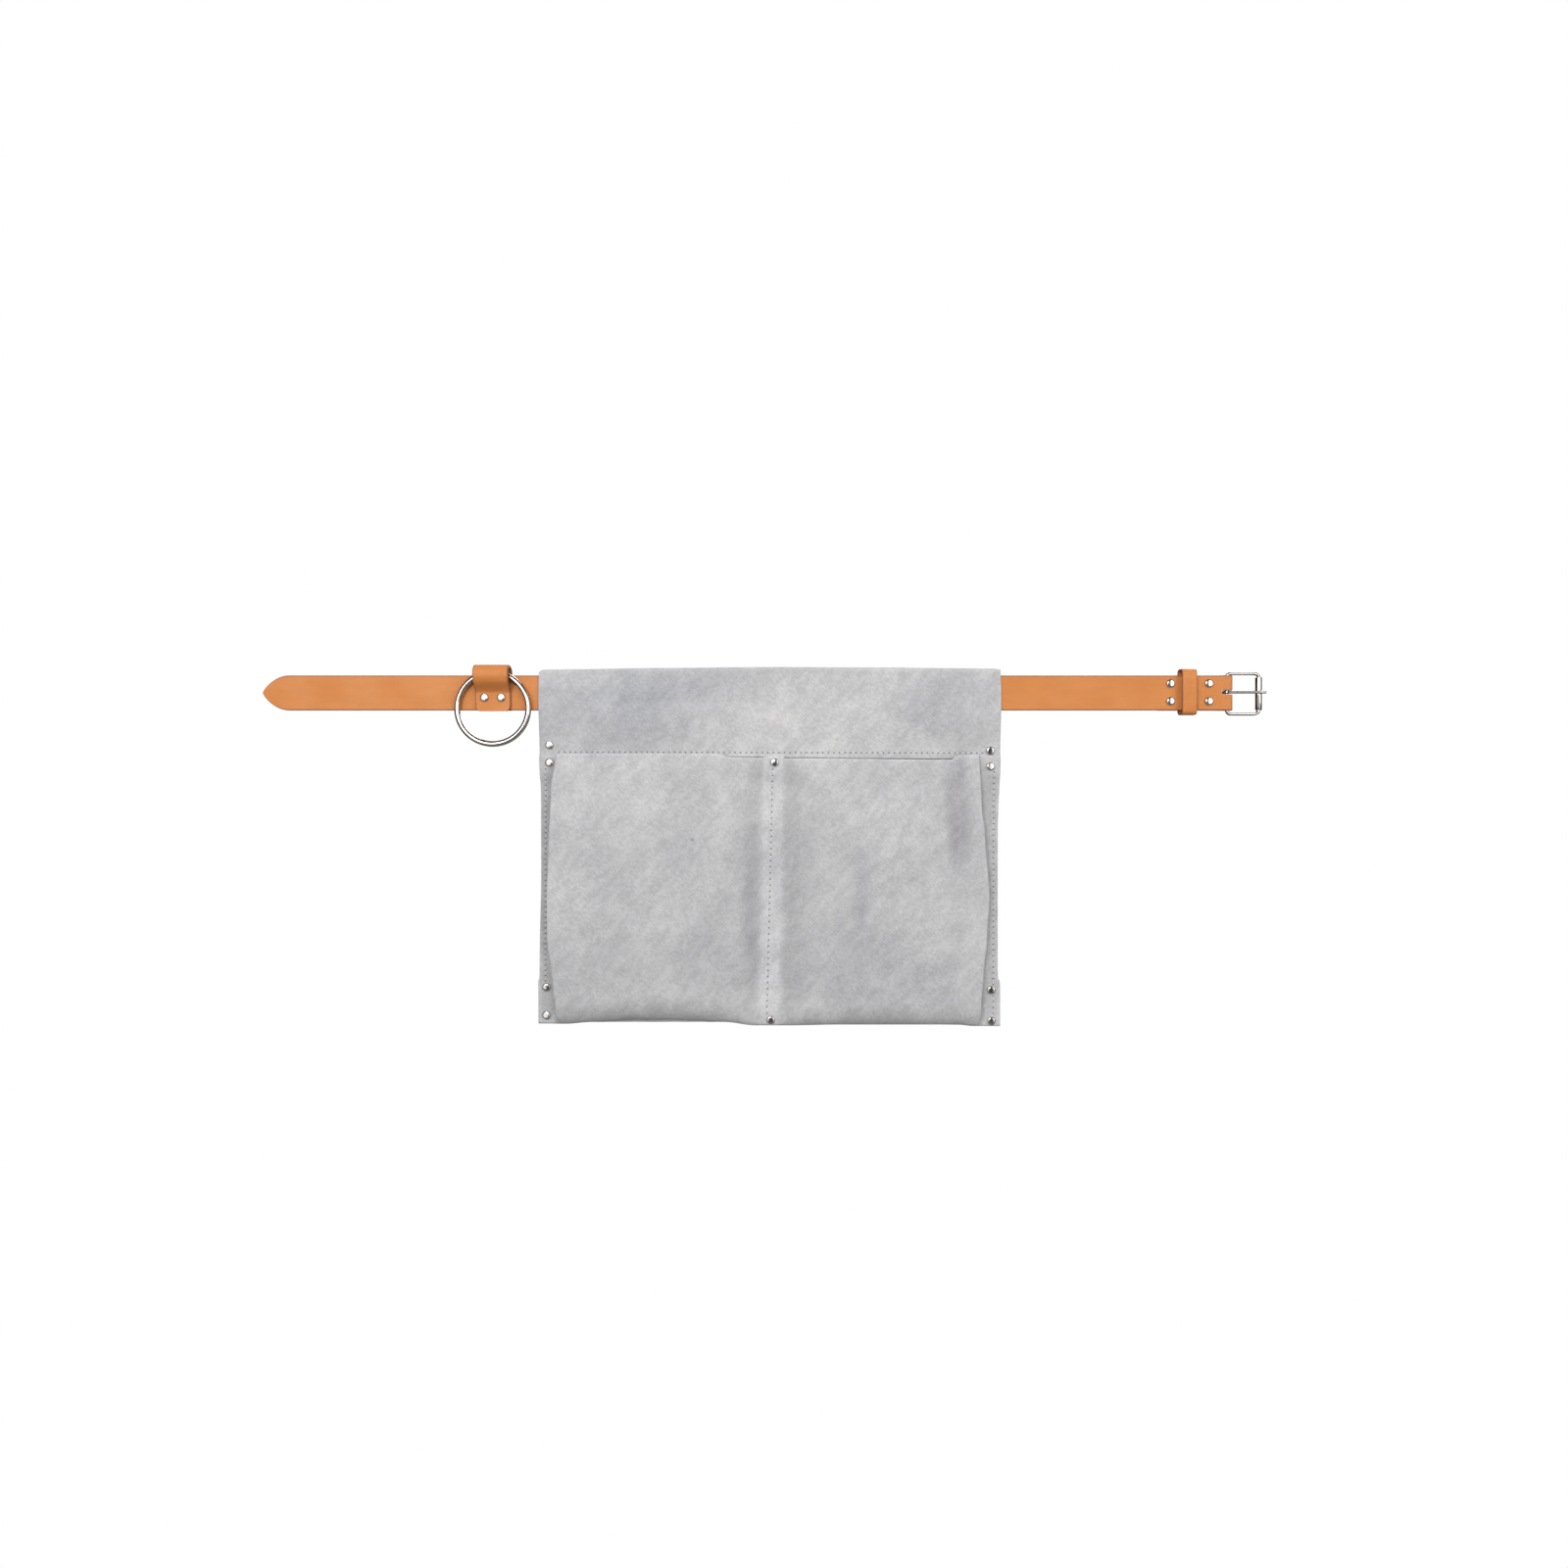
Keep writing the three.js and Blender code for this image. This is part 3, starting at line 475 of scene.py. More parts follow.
class Tree:
    """A node tree that is being wired."""

    def __init__(self, tree: bpy.types.NodeTree) -> None:
        """Keeps the tree."""
        self.tree = tree

    def add(self, kind: str, inputs: dict[Any, Any] | None = None, **settings: Any) -> bpy.types.Node:
        """Adds a node.

        Args:
            kind: Its type.
            inputs: Its sockets' values, or the outputs that feed them.
            settings: Its properties.

        Returns:
            The node.
        """
        node = self.tree.nodes.new(kind)
        for name, value in settings.items():
            setattr(node, name, value)
        for name, value in (inputs or {}).items():
            if isinstance(value, bpy.types.NodeSocket):
                self.tree.links.new(value, node.inputs[name])
            else:
                node.inputs[name].default_value = value
        return node

    def math(self, operation: str, *values: Any) -> bpy.types.NodeSocket:
        """Adds a Math node and returns its output."""
        return self.add("ShaderNodeMath", dict(enumerate(values)), operation=operation).outputs[0]

    def vector(self, operation: str, *values: Any) -> bpy.types.Node:
        """Adds a Vector Math node and returns it."""
        return self.add("ShaderNodeVectorMath", dict(enumerate(values)), operation=operation)

    def blend(self, share: Any, first: Any, second: Any, mode: str = "MIX") -> bpy.types.NodeSocket:
        """Mixes two colours.

        Args:
            share: How much of the second.
            first: A colour, or the output that gives it.
            second: The other.
            mode: How they mix.

        Returns:
            The mixed colour.
        """
        node = self.add("ShaderNodeMix", {0: share, 6: first, 7: second}, data_type="RGBA", blend_type=mode)
        return node.outputs[2]

    def remap(self, value: Any, low: float, high: float, first: float, last: float) -> bpy.types.NodeSocket:
        """Maps low..high of a value smoothly onto first..last."""
        inputs = {"Value": value, "From Min": low, "From Max": high, "To Min": first, "To Max": last}
        return self.add("ShaderNodeMapRange", inputs, interpolation_type="SMOOTHSTEP").outputs[0]

    def noise(self, place: Any, scale: float, detail: float, rough: float) -> bpy.types.NodeSocket:
        """Adds a noise and returns its value."""
        inputs = {"Vector": place, "Scale": scale, "Detail": detail, "Roughness": rough}
        return self.add("ShaderNodeTexNoise", inputs).outputs[0]

    def place(self) -> bpy.types.NodeSocket:
        """Returns the piece's own coordinates."""
        return self.add("ShaderNodeTexCoord").outputs["Object"]

    def group(self, tree: bpy.types.NodeTree, inputs: dict[str, Any]) -> bpy.types.Node:
        """Adds a shared group with this material's values."""
        return self.add("ShaderNodeGroup", inputs, node_tree=tree)

    def link(self, output: bpy.types.NodeSocket, socket: bpy.types.NodeSocket) -> None:
        """Wires an output to another node's socket."""
        self.tree.links.new(output, socket)

    def dim(self, colour: Any, amount: Any) -> bpy.types.NodeSocket:
        """Multiplies a colour by a number, which may be over 1."""
        grey = self.add("ShaderNodeCombineColor", {0: amount, 1: amount, 2: amount}).outputs[0]
        return self.blend(1.0, colour, grey, "MULTIPLY")

    def turned(self, spot: Any, turn: float, stretch: tuple[float, float, float]) -> bpy.types.NodeSocket:
        """Turns a place about Y, then stretches what is read there along its axes."""
        inputs = {"Vector": spot, "Rotation": (0.0, turn, 0.0), "Scale": stretch}
        return self.add("ShaderNodeMapping", inputs, vector_type="TEXTURE").outputs[0]


class Effects:
    """The shader groups that several finishes share, each built once."""

    FLOAT = "NodeSocketFloat"
    VECTOR = "NodeSocketVector"

    def __init__(self) -> None:
        """Builds every group."""
        self.patch = self._patch()
        self.nap = self._nap()
        self.holes = self._holes()
        self.grain = self._grain()
        self.smudge = self._smudge()

    def _open(self, name: str, inputs: dict[str, str], outputs: Iterable[str]) -> tuple[Tree, Any, Any]:
        """Starts a group.

        Args:
            name: The group's name.
            inputs: Each input's name and socket type.
            outputs: The outputs' names, all of them numbers.

        Returns:
            Its tree, its input node and its output node.
        """
        made = bpy.data.node_groups.new(name, "ShaderNodeTree")
        for title, kind in inputs.items():
            made.interface.new_socket(title, in_out="INPUT", socket_type=kind)
        for title in outputs:
            made.interface.new_socket(title, in_out="OUTPUT", socket_type=self.FLOAT)
        tree = Tree(made)
        return tree, tree.add("NodeGroupInput"), tree.add("NodeGroupOutput")

    def _sized(self, tree: Tree, given: bpy.types.Node) -> bpy.types.NodeSocket:
        """Returns a group's place, scaled by its size."""
        place = tree.vector("SCALE", given.outputs["Vector"])
        tree.link(given.outputs["Size"], place.inputs["Scale"])
        return place.outputs[0]

    def _patch(self) -> bpy.types.NodeTree:
        """Makes a soft oval patch: 1 in its middle and 0 past its reach."""
        kinds = {"Vector": self.VECTOR, "Centre": self.VECTOR, "Reach": self.VECTOR}
        tree, given, out = self._open("soft patch", kinds, ["Mask"])
        blur = tree.noise(given.outputs["Vector"], 22.0, 3.0, 0.6)
        off = tree.vector("SUBTRACT", given.outputs["Vector"], given.outputs["Centre"])
        share = tree.vector("DIVIDE", off.outputs[0], given.outputs["Reach"])
        far = tree.vector("LENGTH", share.outputs[0]).outputs["Value"]
        ragged = tree.math("ADD", far, tree.math("MULTIPLY", tree.math("SUBTRACT", blur, 0.5), 0.9))
        tree.link(tree.remap(ragged, 0.15, 1.1, 1.0, 0.0), out.inputs["Mask"])
        return tree.tree

    def _nap(self) -> bpy.types.NodeTree:
        """Makes suede's short fibres: brushed tufts with finer hairs across them."""
        kinds = {"Vector": self.VECTOR, "Size": self.FLOAT}
        tree, given, out = self._open("nap", kinds, ["Shade", "Height"])
        spot = self._sized(tree, given)
        tufts = tree.noise(tree.turned(spot, 0.6, (2.2, 1.0, 1.0)), 520.0, 4.0, 0.62)
        hairs = tree.noise(tree.turned(spot, -0.9, (1.0, 1.0, 2.5)), 1100.0, 3.0, 0.6)
        clumps = tree.noise(tree.turned(spot, 0.75, (1.0, 1.0, 2.6)), 130.0, 4.0, 0.62)
        fine = tree.math("ADD", tree.math("MULTIPLY", tufts, 0.55), tree.math("MULTIPLY", hairs, 0.45))
        both = tree.math("ADD", tree.math("MULTIPLY", fine, 0.7), tree.math("MULTIPLY", clumps, 0.3))
        tree.link(tree.remap(both, 0.32, 0.68, 0.0, 1.0), out.inputs["Shade"])
        tree.link(fine, out.inputs["Height"])
        return tree.tree

    def _holes(self) -> bpy.types.NodeTree:
        """Makes a row of needle holes from a point along a direction, with a groove between them, as a thread
        wears one in.
        """
        kinds = {
            "Vector": self.VECTOR,
            "Start": self.VECTOR,
            "Along": self.VECTOR,
            "Length": self.FLOAT,
            "Pitch": self.FLOAT,
            "Radius": self.FLOAT,
        }
        tree, given, out = self._open("needle holes", kinds, ["Hole", "Groove"])
        off = tree.vector("SUBTRACT", given.outputs["Vector"], given.outputs["Start"]).outputs[0]
        flat = tree.vector("MULTIPLY", off, (1.0, 0.0, 1.0)).outputs[0]
        run = tree.vector("DOT_PRODUCT", flat, given.outputs["Along"]).outputs["Value"]
        whole = tree.vector("LENGTH", flat).outputs["Value"]
        squared = tree.math("SUBTRACT", tree.math("POWER", whole, 2.0), tree.math("POWER", run, 2.0))
        aside = tree.math("SQRT", tree.math("MAXIMUM", squared, 0.0))
        turn = tree.math("DIVIDE", run, given.outputs["Pitch"])
        step = tree.math("ABSOLUTE", tree.math("SUBTRACT", turn, tree.math("ROUND", turn)))
        near = tree.math("MULTIPLY", step, given.outputs["Pitch"])
        both = tree.math("ADD", tree.math("POWER", near, 2.0), tree.math("POWER", aside, 2.0))
        apart = tree.math("SQRT", both)
        share = tree.math("DIVIDE", apart, given.outputs["Radius"])
        begun = tree.math("GREATER_THAN", run, -0.0006)
        ended = tree.math("LESS_THAN", run, tree.math("ADD", given.outputs["Length"], 0.0006))
        inside = tree.math("MULTIPLY", begun, ended)
        hole = tree.math("MULTIPLY", tree.remap(share, 0.55, 1.15, 1.0, 0.0), inside)
        dip = tree.remap(tree.math("DIVIDE", aside, given.outputs["Radius"]), 0.6, 3.2, 1.0, 0.0)
        tree.link(hole, out.inputs["Hole"])
        tree.link(tree.math("MULTIPLY", dip, inside), out.inputs["Groove"])
        return tree.tree

    def _grain(self) -> bpy.types.NodeTree:
        """Makes smooth leather's grain: fine cells with pores and slow clouds of tan."""
        kinds = {"Vector": self.VECTOR, "Size": self.FLOAT}
        tree, given, out = self._open("grain", kinds, ["Shade", "Cloud", "Height"])
        spot = self._sized(tree, given)
        cells = tree.add(
            "ShaderNodeTexVoronoi", {"Vector": spot, "Scale": 1400.0}, feature="DISTANCE_TO_EDGE"
        ).outputs["Distance"]
        pores = tree.noise(spot, 900.0, 2.0, 0.5)
        cloud = tree.noise(spot, 26.0, 4.0, 0.55)
        fibre = tree.add("ShaderNodeMapping", {"Vector": spot, "Scale": (0.18, 1.0, 1.0)}).outputs[0]
        streak = tree.noise(fibre, 160.0, 3.0, 0.6)
        tree.link(tree.remap(streak, 0.3, 0.7, 0.0, 1.0), out.inputs["Shade"])
        tree.link(tree.remap(cloud, 0.3, 0.7, 0.0, 1.0), out.inputs["Cloud"])
        rise = tree.math("ADD", tree.remap(cells, 0.0, 0.25, 0.0, 1.0), tree.math("MULTIPLY", pores, 0.8))
        tree.link(rise, out.inputs["Height"])
        return tree.tree

    def _smudge(self) -> bpy.types.NodeTree:
        """Makes handled metal's smears and hairline scratches."""
        kinds = {"Vector": self.VECTOR, "Size": self.FLOAT}
        tree, given, out = self._open("smudge", kinds, ["Smear", "Scratch"])
        spot = self._sized(tree, given)
        smear = tree.noise(spot, 120.0, 4.0, 0.6)
        long = tree.add(
            "ShaderNodeMapping", {"Vector": spot, "Rotation": (0.4, 0.3, 0.7), "Scale": (0.06, 1.0, 1.0)}
        ).outputs[0]
        lines = tree.noise(long, 1500.0, 2.0, 0.7)
        tree.link(tree.remap(smear, 0.35, 0.75, 0.0, 1.0), out.inputs["Smear"])
        tree.link(tree.remap(lines, 0.6, 0.75, 0.0, 1.0), out.inputs["Scratch"])
        return tree.tree


def shaded(name: str) -> tuple[Tree, bpy.types.Node]:
    """Starts a material.

    Args:
        name: Its name.

    Returns:
        Its tree and its shader.
    """
    material = bpy.data.materials.new(name)
    material.use_nodes = True
    tree = Tree(material.node_tree)
    return tree, material.node_tree.nodes["Principled BSDF"]


def bumped(tree: Tree, shader: bpy.types.Node, height: Any, strength: float, distance: float) -> None:
    """Feeds a height to the shader's normal.

    Args:
        tree: The material's tree.
        shader: Its shader.
        height: The height, from 0 to 1.
        strength: How much of it shows.
        distance: The height's size, in mm.
    """
    inputs = {"Height": height, "Strength": strength, "Distance": distance * MM}
    bump = tree.add("ShaderNodeBump", inputs)
    tree.link(bump.outputs[0], shader.inputs["Normal"])


@dataclass(frozen=True)
class Tone:
    """A soft patch on a hide that is lighter or darker than the rest, in mm."""

    x: float
    z: float
    reach_x: float
    reach_z: float
    colour: tuple[float, float, float]
    share: float


@dataclass(frozen=True)
class HoleRow:
    """A row of needle holes, in mm."""

    start: Point
    end: Point
    pitch: float

    @property
    def count(self) -> int:
        """Returns how many stitches it has."""
        return round(self.length / self.pitch)

    @property
    def length(self) -> float:
        """Returns its length."""
        return math.dist(self.start, self.end)

    @property
    def even_pitch(self) -> float:
        """Returns the pitch that fits its length."""
        return self.length / self.count


@dataclass(frozen=True)
class SuedeFinish:
    """Napped split suede: cool grey, mottled, with needle holes along its seams."""

    effects: Effects
    tones: Sequence[Tone]
    rows: Sequence[HoleRow]
    name: str = "suede hide"
    light: tuple[float, float, float] = (0.560, 0.556, 0.562)
    dark: tuple[float, float, float] = (0.472, 0.470, 0.481)
    sheen: float = 0.25
    # colour factors for the per-vertex layer: the deepest painted shade, and the brightest painted highlight
    painted_shade: float = 0.80
    rubbed_and_highlight: float = 1.20
    hole_radius: float = 0.9
    hole_shade_colour: tuple[float, float, float] = (0.05, 0.05, 0.055)

    def build(self) -> bpy.types.Material:
        """Wires the material and returns it."""
        tree, shader = shaded(self.name)
        spot = tree.place()
        nap = tree.group(self.effects.nap, {"Vector": spot, "Size": 1.0})
        stain = tree.noise(spot, 13.0, 5.0, 0.62)
        shifted = tree.add("ShaderNodeMapping", {"Vector": spot, "Location": (3.1, 0.4, 1.7)}).outputs[0]
        cloud = tree.noise(shifted, 42.0, 4.0, 0.6)
        mottled = tree.math("ADD", tree.math("MULTIPLY", stain, 0.6), tree.math("MULTIPLY", cloud, 0.4))
        colour = tree.blend(tree.remap(mottled, 0.36, 0.64, 0.0, 1.0), self.dark + (1,), self.light + (1,))
        # the tones: mottling of the hide, and painted shade towards the foot, along creases and beside the
        # channel
        for tone in self.tones:
            mask = tree.group(
                self.effects.patch,
                {
                    "Vector": spot,
                    "Centre": (tone.x * MM, 0.0, tone.z * MM),
                    "Reach": (tone.reach_x * MM, 10.0, tone.reach_z * MM),
                },
            ).outputs["Mask"]
            share = tree.math("MULTIPLY", mask, tone.share)
            colour = tree.blend(share, colour, tone.colour + (1,), "MULTIPLY")
        fleck = tree.remap(nap.outputs["Shade"], 0.0, 1.0, 0.83, 1.11)
        colour = tree.dim(colour, fleck)
        # painted light and shade from the per-vertex layer: lighter on the pleat folds, the channel and the
        # mouth's edge, darker beside the pleats and the channel
        wear_and_shading = tree.add("ShaderNodeAttribute", attribute_name="wear_and_shading").outputs["Fac"]
        rubbed_and_highlight = tree.remap(wear_and_shading, -1.0, 1.0, self.painted_shade, self.rubbed_and_highlight)
        colour = tree.dim(colour, rubbed_and_highlight)
        pits: Any = 0.0
        for row in self.rows:
            way = Vector((row.end[0] - row.start[0], 0.0, row.end[1] - row.start[1])).normalized()
            holes = tree.group(
                self.effects.holes,
                {
                    "Vector": spot,
                    "Start": (row.start[0] * MM, 0.0, row.start[1] * MM),
                    "Along": tuple(way),
                    "Length": row.length * MM,
                    "Pitch": row.even_pitch * MM,
                    "Radius": self.hole_radius * MM,
                },
            )
            # painted shade inside the needle holes
            pierced = tree.math("MULTIPLY", holes.outputs["Hole"], 0.86)
            colour = tree.blend(pierced, colour, self.hole_shade_colour + (1,))
            groove = tree.math("MULTIPLY", holes.outputs["Groove"], 0.35)
            pits = tree.math("MAXIMUM", pits, tree.math("MAXIMUM", holes.outputs["Hole"], groove))
        tree.link(colour, shader.inputs["Base Color"])
        tree.link(tree.remap(nap.outputs["Shade"], 0.0, 1.0, 0.98, 0.84), shader.inputs["Roughness"])
        shader.inputs["Sheen Weight"].default_value = self.sheen
        shader.inputs["Sheen Roughness"].default_value = 0.55
        shader.inputs["Specular IOR Level"].default_value = 0.2
        height = tree.math("SUBTRACT", nap.outputs["Height"], tree.math("MULTIPLY", pits, 1.2))
        bumped(tree, shader, height, 0.75, 0.55)
        return bpy.data.materials[self.name]


@dataclass(frozen=True)
class CutSuedeFinish:
    """The raw cut edge of a suede hide, paler and hairy."""

    effects: Effects
    name: str = "suede cut edge"
    colour: tuple[float, float, float] = (0.62, 0.625, 0.64)

    def build(self) -> bpy.types.Material:
        """Wires the material and returns it."""
        tree, shader = shaded(self.name)
        nap = tree.group(self.effects.nap, {"Vector": tree.place(), "Size": 1.6})
        shadowed = tuple(c * 0.7 for c in self.colour) + (1,)
        colour = tree.blend(nap.outputs["Shade"], shadowed, self.colour + (1,))
        tree.link(colour, shader.inputs["Base Color"])
        tree.link(tree.remap(nap.outputs["Shade"], 0.0, 1.0, 1.0, 0.88), shader.inputs["Roughness"])
        shader.inputs["Sheen Weight"].default_value = 0.3
        bumped(tree, shader, nap.outputs["Height"], 0.9, 0.5)
        return bpy.data.materials[self.name]


@dataclass(frozen=True)
class StrapFinish:
    """Smooth vegetable-tanned leather with burnished edges."""

    effects: Effects
    name: str = "tan strap leather"
    light: tuple[float, float, float] = (0.645, 0.244, 0.070)
    dark: tuple[float, float, float] = (0.615, 0.223, 0.058)
    edge: tuple[float, float, float] = (0.300, 0.120, 0.060)

    def build(self) -> bpy.types.Material:
        """Wires the material and returns it."""
        tree, shader = shaded(self.name)
        grain = tree.group(self.effects.grain, {"Vector": tree.place(), "Size": 1.0})
        base = tree.blend(grain.outputs["Cloud"], self.dark + (1,), self.light + (1,))
        streak = tree.remap(grain.outputs["Shade"], 0.0, 1.0, 0.975, 1.02)
        base = tree.dim(base, streak)
        wear_and_shading = tree.add("ShaderNodeAttribute", attribute_name="wear_and_shading").outputs["Fac"]
        burnished = tree.math("MULTIPLY", tree.remap(wear_and_shading, 0.1, 1.0, 0.0, 1.0), 0.85)
        colour = tree.blend(burnished, base, self.edge + (1,))
        tree.link(colour, shader.inputs["Base Color"])
        whole = tree.remap(grain.outputs["Cloud"], 0.0, 1.0, 0.56, 0.44)
        gloss = tree.math("SUBTRACT", whole, tree.math("MULTIPLY", wear_and_shading, 0.12))
        tree.link(gloss, shader.inputs["Roughness"])
        shader.inputs["Specular IOR Level"].default_value = 0.26
        bumped(tree, shader, grain.outputs["Height"], 0.22, 0.12)
        return bpy.data.materials[self.name]


@dataclass(frozen=True)
class NickelFinish:
    """Nickel plate, from freshly polished to dulled by handling."""

    effects: Effects
    name: str
    colour: tuple[float, float, float]
    smooth: float
    rubbed_and_highlight: float

    def build(self) -> bpy.types.Material:
        """Wires the material and returns it."""
        tree, shader = shaded(self.name)
        marks = tree.group(self.effects.smudge, {"Vector": tree.place(), "Size": 1.0})
        dull = tuple(c * 0.88 for c in self.colour) + (1,)
        colour = tree.blend(marks.outputs["Smear"], self.colour + (1,), dull)
        tree.link(colour, shader.inputs["Base Color"])
        smear = tree.remap(marks.outputs["Smear"], 0.0, 1.0, self.smooth, self.rubbed_and_highlight)
        rough = tree.math("ADD", smear, tree.math("MULTIPLY", marks.outputs["Scratch"], 0.08))
        tree.link(rough, shader.inputs["Roughness"])
        shader.inputs["Metallic"].default_value = 1.0
        bumped(tree, shader, marks.outputs["Scratch"], 0.06, 0.02)
        return bpy.data.materials[self.name]


@dataclass(frozen=True)
class ThreadFinish:
    """Waxed thread, light grey, with the twist of its plies."""

    effects: Effects
    name: str = "waxed seam thread"
    colour: tuple[float, float, float] = (0.80, 0.80, 0.80)

    def build(self) -> bpy.types.Material:
        """Wires the material and returns it."""
        tree, shader = shaded(self.name)
        spot = tree.place()
        plies = tree.add(
            "ShaderNodeTexWave",
            {"Vector": spot, "Scale": 480.0, "Distortion": 0.6},
            bands_direction="DIAGONAL",
        ).outputs["Fac"]
        nap = tree.group(self.effects.nap, {"Vector": spot, "Size": 2.0})
        colour = tree.blend(plies, tuple(c * 0.74 for c in self.colour) + (1,), self.colour + (1,))
        tree.link(colour, shader.inputs["Base Color"])
        tree.link(tree.remap(nap.outputs["Shade"], 0.0, 1.0, 0.7, 0.55), shader.inputs["Roughness"])
        bumped(tree, shader, plies, 0.5, 0.12)
        return bpy.data.materials[self.name]


# ---------------------------------------------------------------- the hides


@dataclass(frozen=True)
class HideLevels:
    """The depths at which the hides lie, the same as in the CAD part, in mm."""

    suede: float = 1.8
    gap: float = 0.3
    set_in: float = 0.15

    @property
    def margin(self) -> float:
        """Returns the depth of a hide's middle that lies on the back panel."""
        return self.set_in + self.suede * 1.5 + self.gap

    @property
    def over_flap(self) -> float:
        """Returns the depth of a hide's middle that lies on the flap."""
        return self.margin + self.suede + self.gap

    @property
    def behind(self) -> float:
        """Returns how far behind the panel the wrap's middle lies."""
        return self.gap + self.suede / 2


LEVELS = HideLevels()

LEFT_EDGE: Profile = (
    (27, -249.8), (22, -251.0), (0, -251.3), (-70, -250.9), (-115, -249.3), (-190, -249.1), (-300, -250.9),
    (-309, -251.0), (-313, -252.3), (-362, -252.0),
)
RIGHT_EDGE: Profile = (
    (24, 249.7), (0, 250.4), (-70, 250.0), (-150, 247.4), (-300, 247.3), (-311, 247.6), (-315, 249.8),
    (-362, 250.1),
)
TOP_EDGE: Profile = (
    (-251, -2.2), (-247, 0.2), (-240, 0.6), (-215, 0.9), (-120, 2.3), (0, 3.3), (120, 2.9), (242, 1.7),
    (250, 0.6),
)
FLAP_FLAT_ROWS = 18
FLAP_SLOPE_ROWS = 14
FLAP_HEM_ROWS = 5
FLAP_ROWS = FLAP_FLAT_ROWS + FLAP_SLOPE_ROWS + FLAP_HEM_ROWS + 1
FLAP_EDGE: Profile = ((-250, -69.2), (-40, -69.6), (120, -71.2), (250, -71.8))


def hide_edge(side: Side, z: float) -> float:
    """Returns where the hides' side edge is at a height."""
    return along_profile(LEFT_EDGE if side is Side.LEFT else RIGHT_EDGE, z)


def grid(
    columns: int,
    rows: int,
    place: Callable[[int, int], Vector],
    wear_and_shading: Callable[[int, int], float] | None = None,
) -> Shape:
    """Makes a sheet from a square grid.

    Args:
        columns: Stations across.
        rows: Stations down.
        place: Gives the place, in mm, of each column and row.
        wear_and_shading: Gives each one's painted light and shade, from -1 for painted shade to 1 for a
            painted highlight.

    Returns:
        The sheet.
    """
    shape = Shape()
    bmesh.ops.create_grid(shape.mesh, x_segments=columns - 1, y_segments=rows - 1, size=0.5)
    for corner in shape.mesh.verts:
        column = round((corner.co.x + 0.5) * (columns - 1))
        row = round((0.5 - corner.co.y) * (rows - 1))
        corner.co = place(column, row) * MM
        corner[shape.wear_and_shading_layer] = wear_and_shading(column, row) if wear_and_shading else 0.0
    for face in shape.mesh.faces:
        face.smooth = True
    return shape


def thicken(piece: bpy.types.Object, thickness: float, round_edge: float) -> None:
    """Gives a sheet its thickness, its cut edges' finish and their slight rounding.

    Args:
        piece: The sheet.
        thickness: In mm.
        round_edge: The rounding, in mm.
    """
    solid = piece.modifiers.new("thickness", "SOLIDIFY")
    solid.thickness = thickness * MM
    solid.offset = 0.0
    solid.use_even_offset = False
    solid.material_offset_rim = 1
    bevel = piece.modifiers.new("cut edge", "BEVEL")
    bevel.width = round_edge * MM
    bevel.segments = 2
    bevel.limit_method = "ANGLE"
    bevel.angle_limit = math.radians(60)
    apply_modifiers(piece)


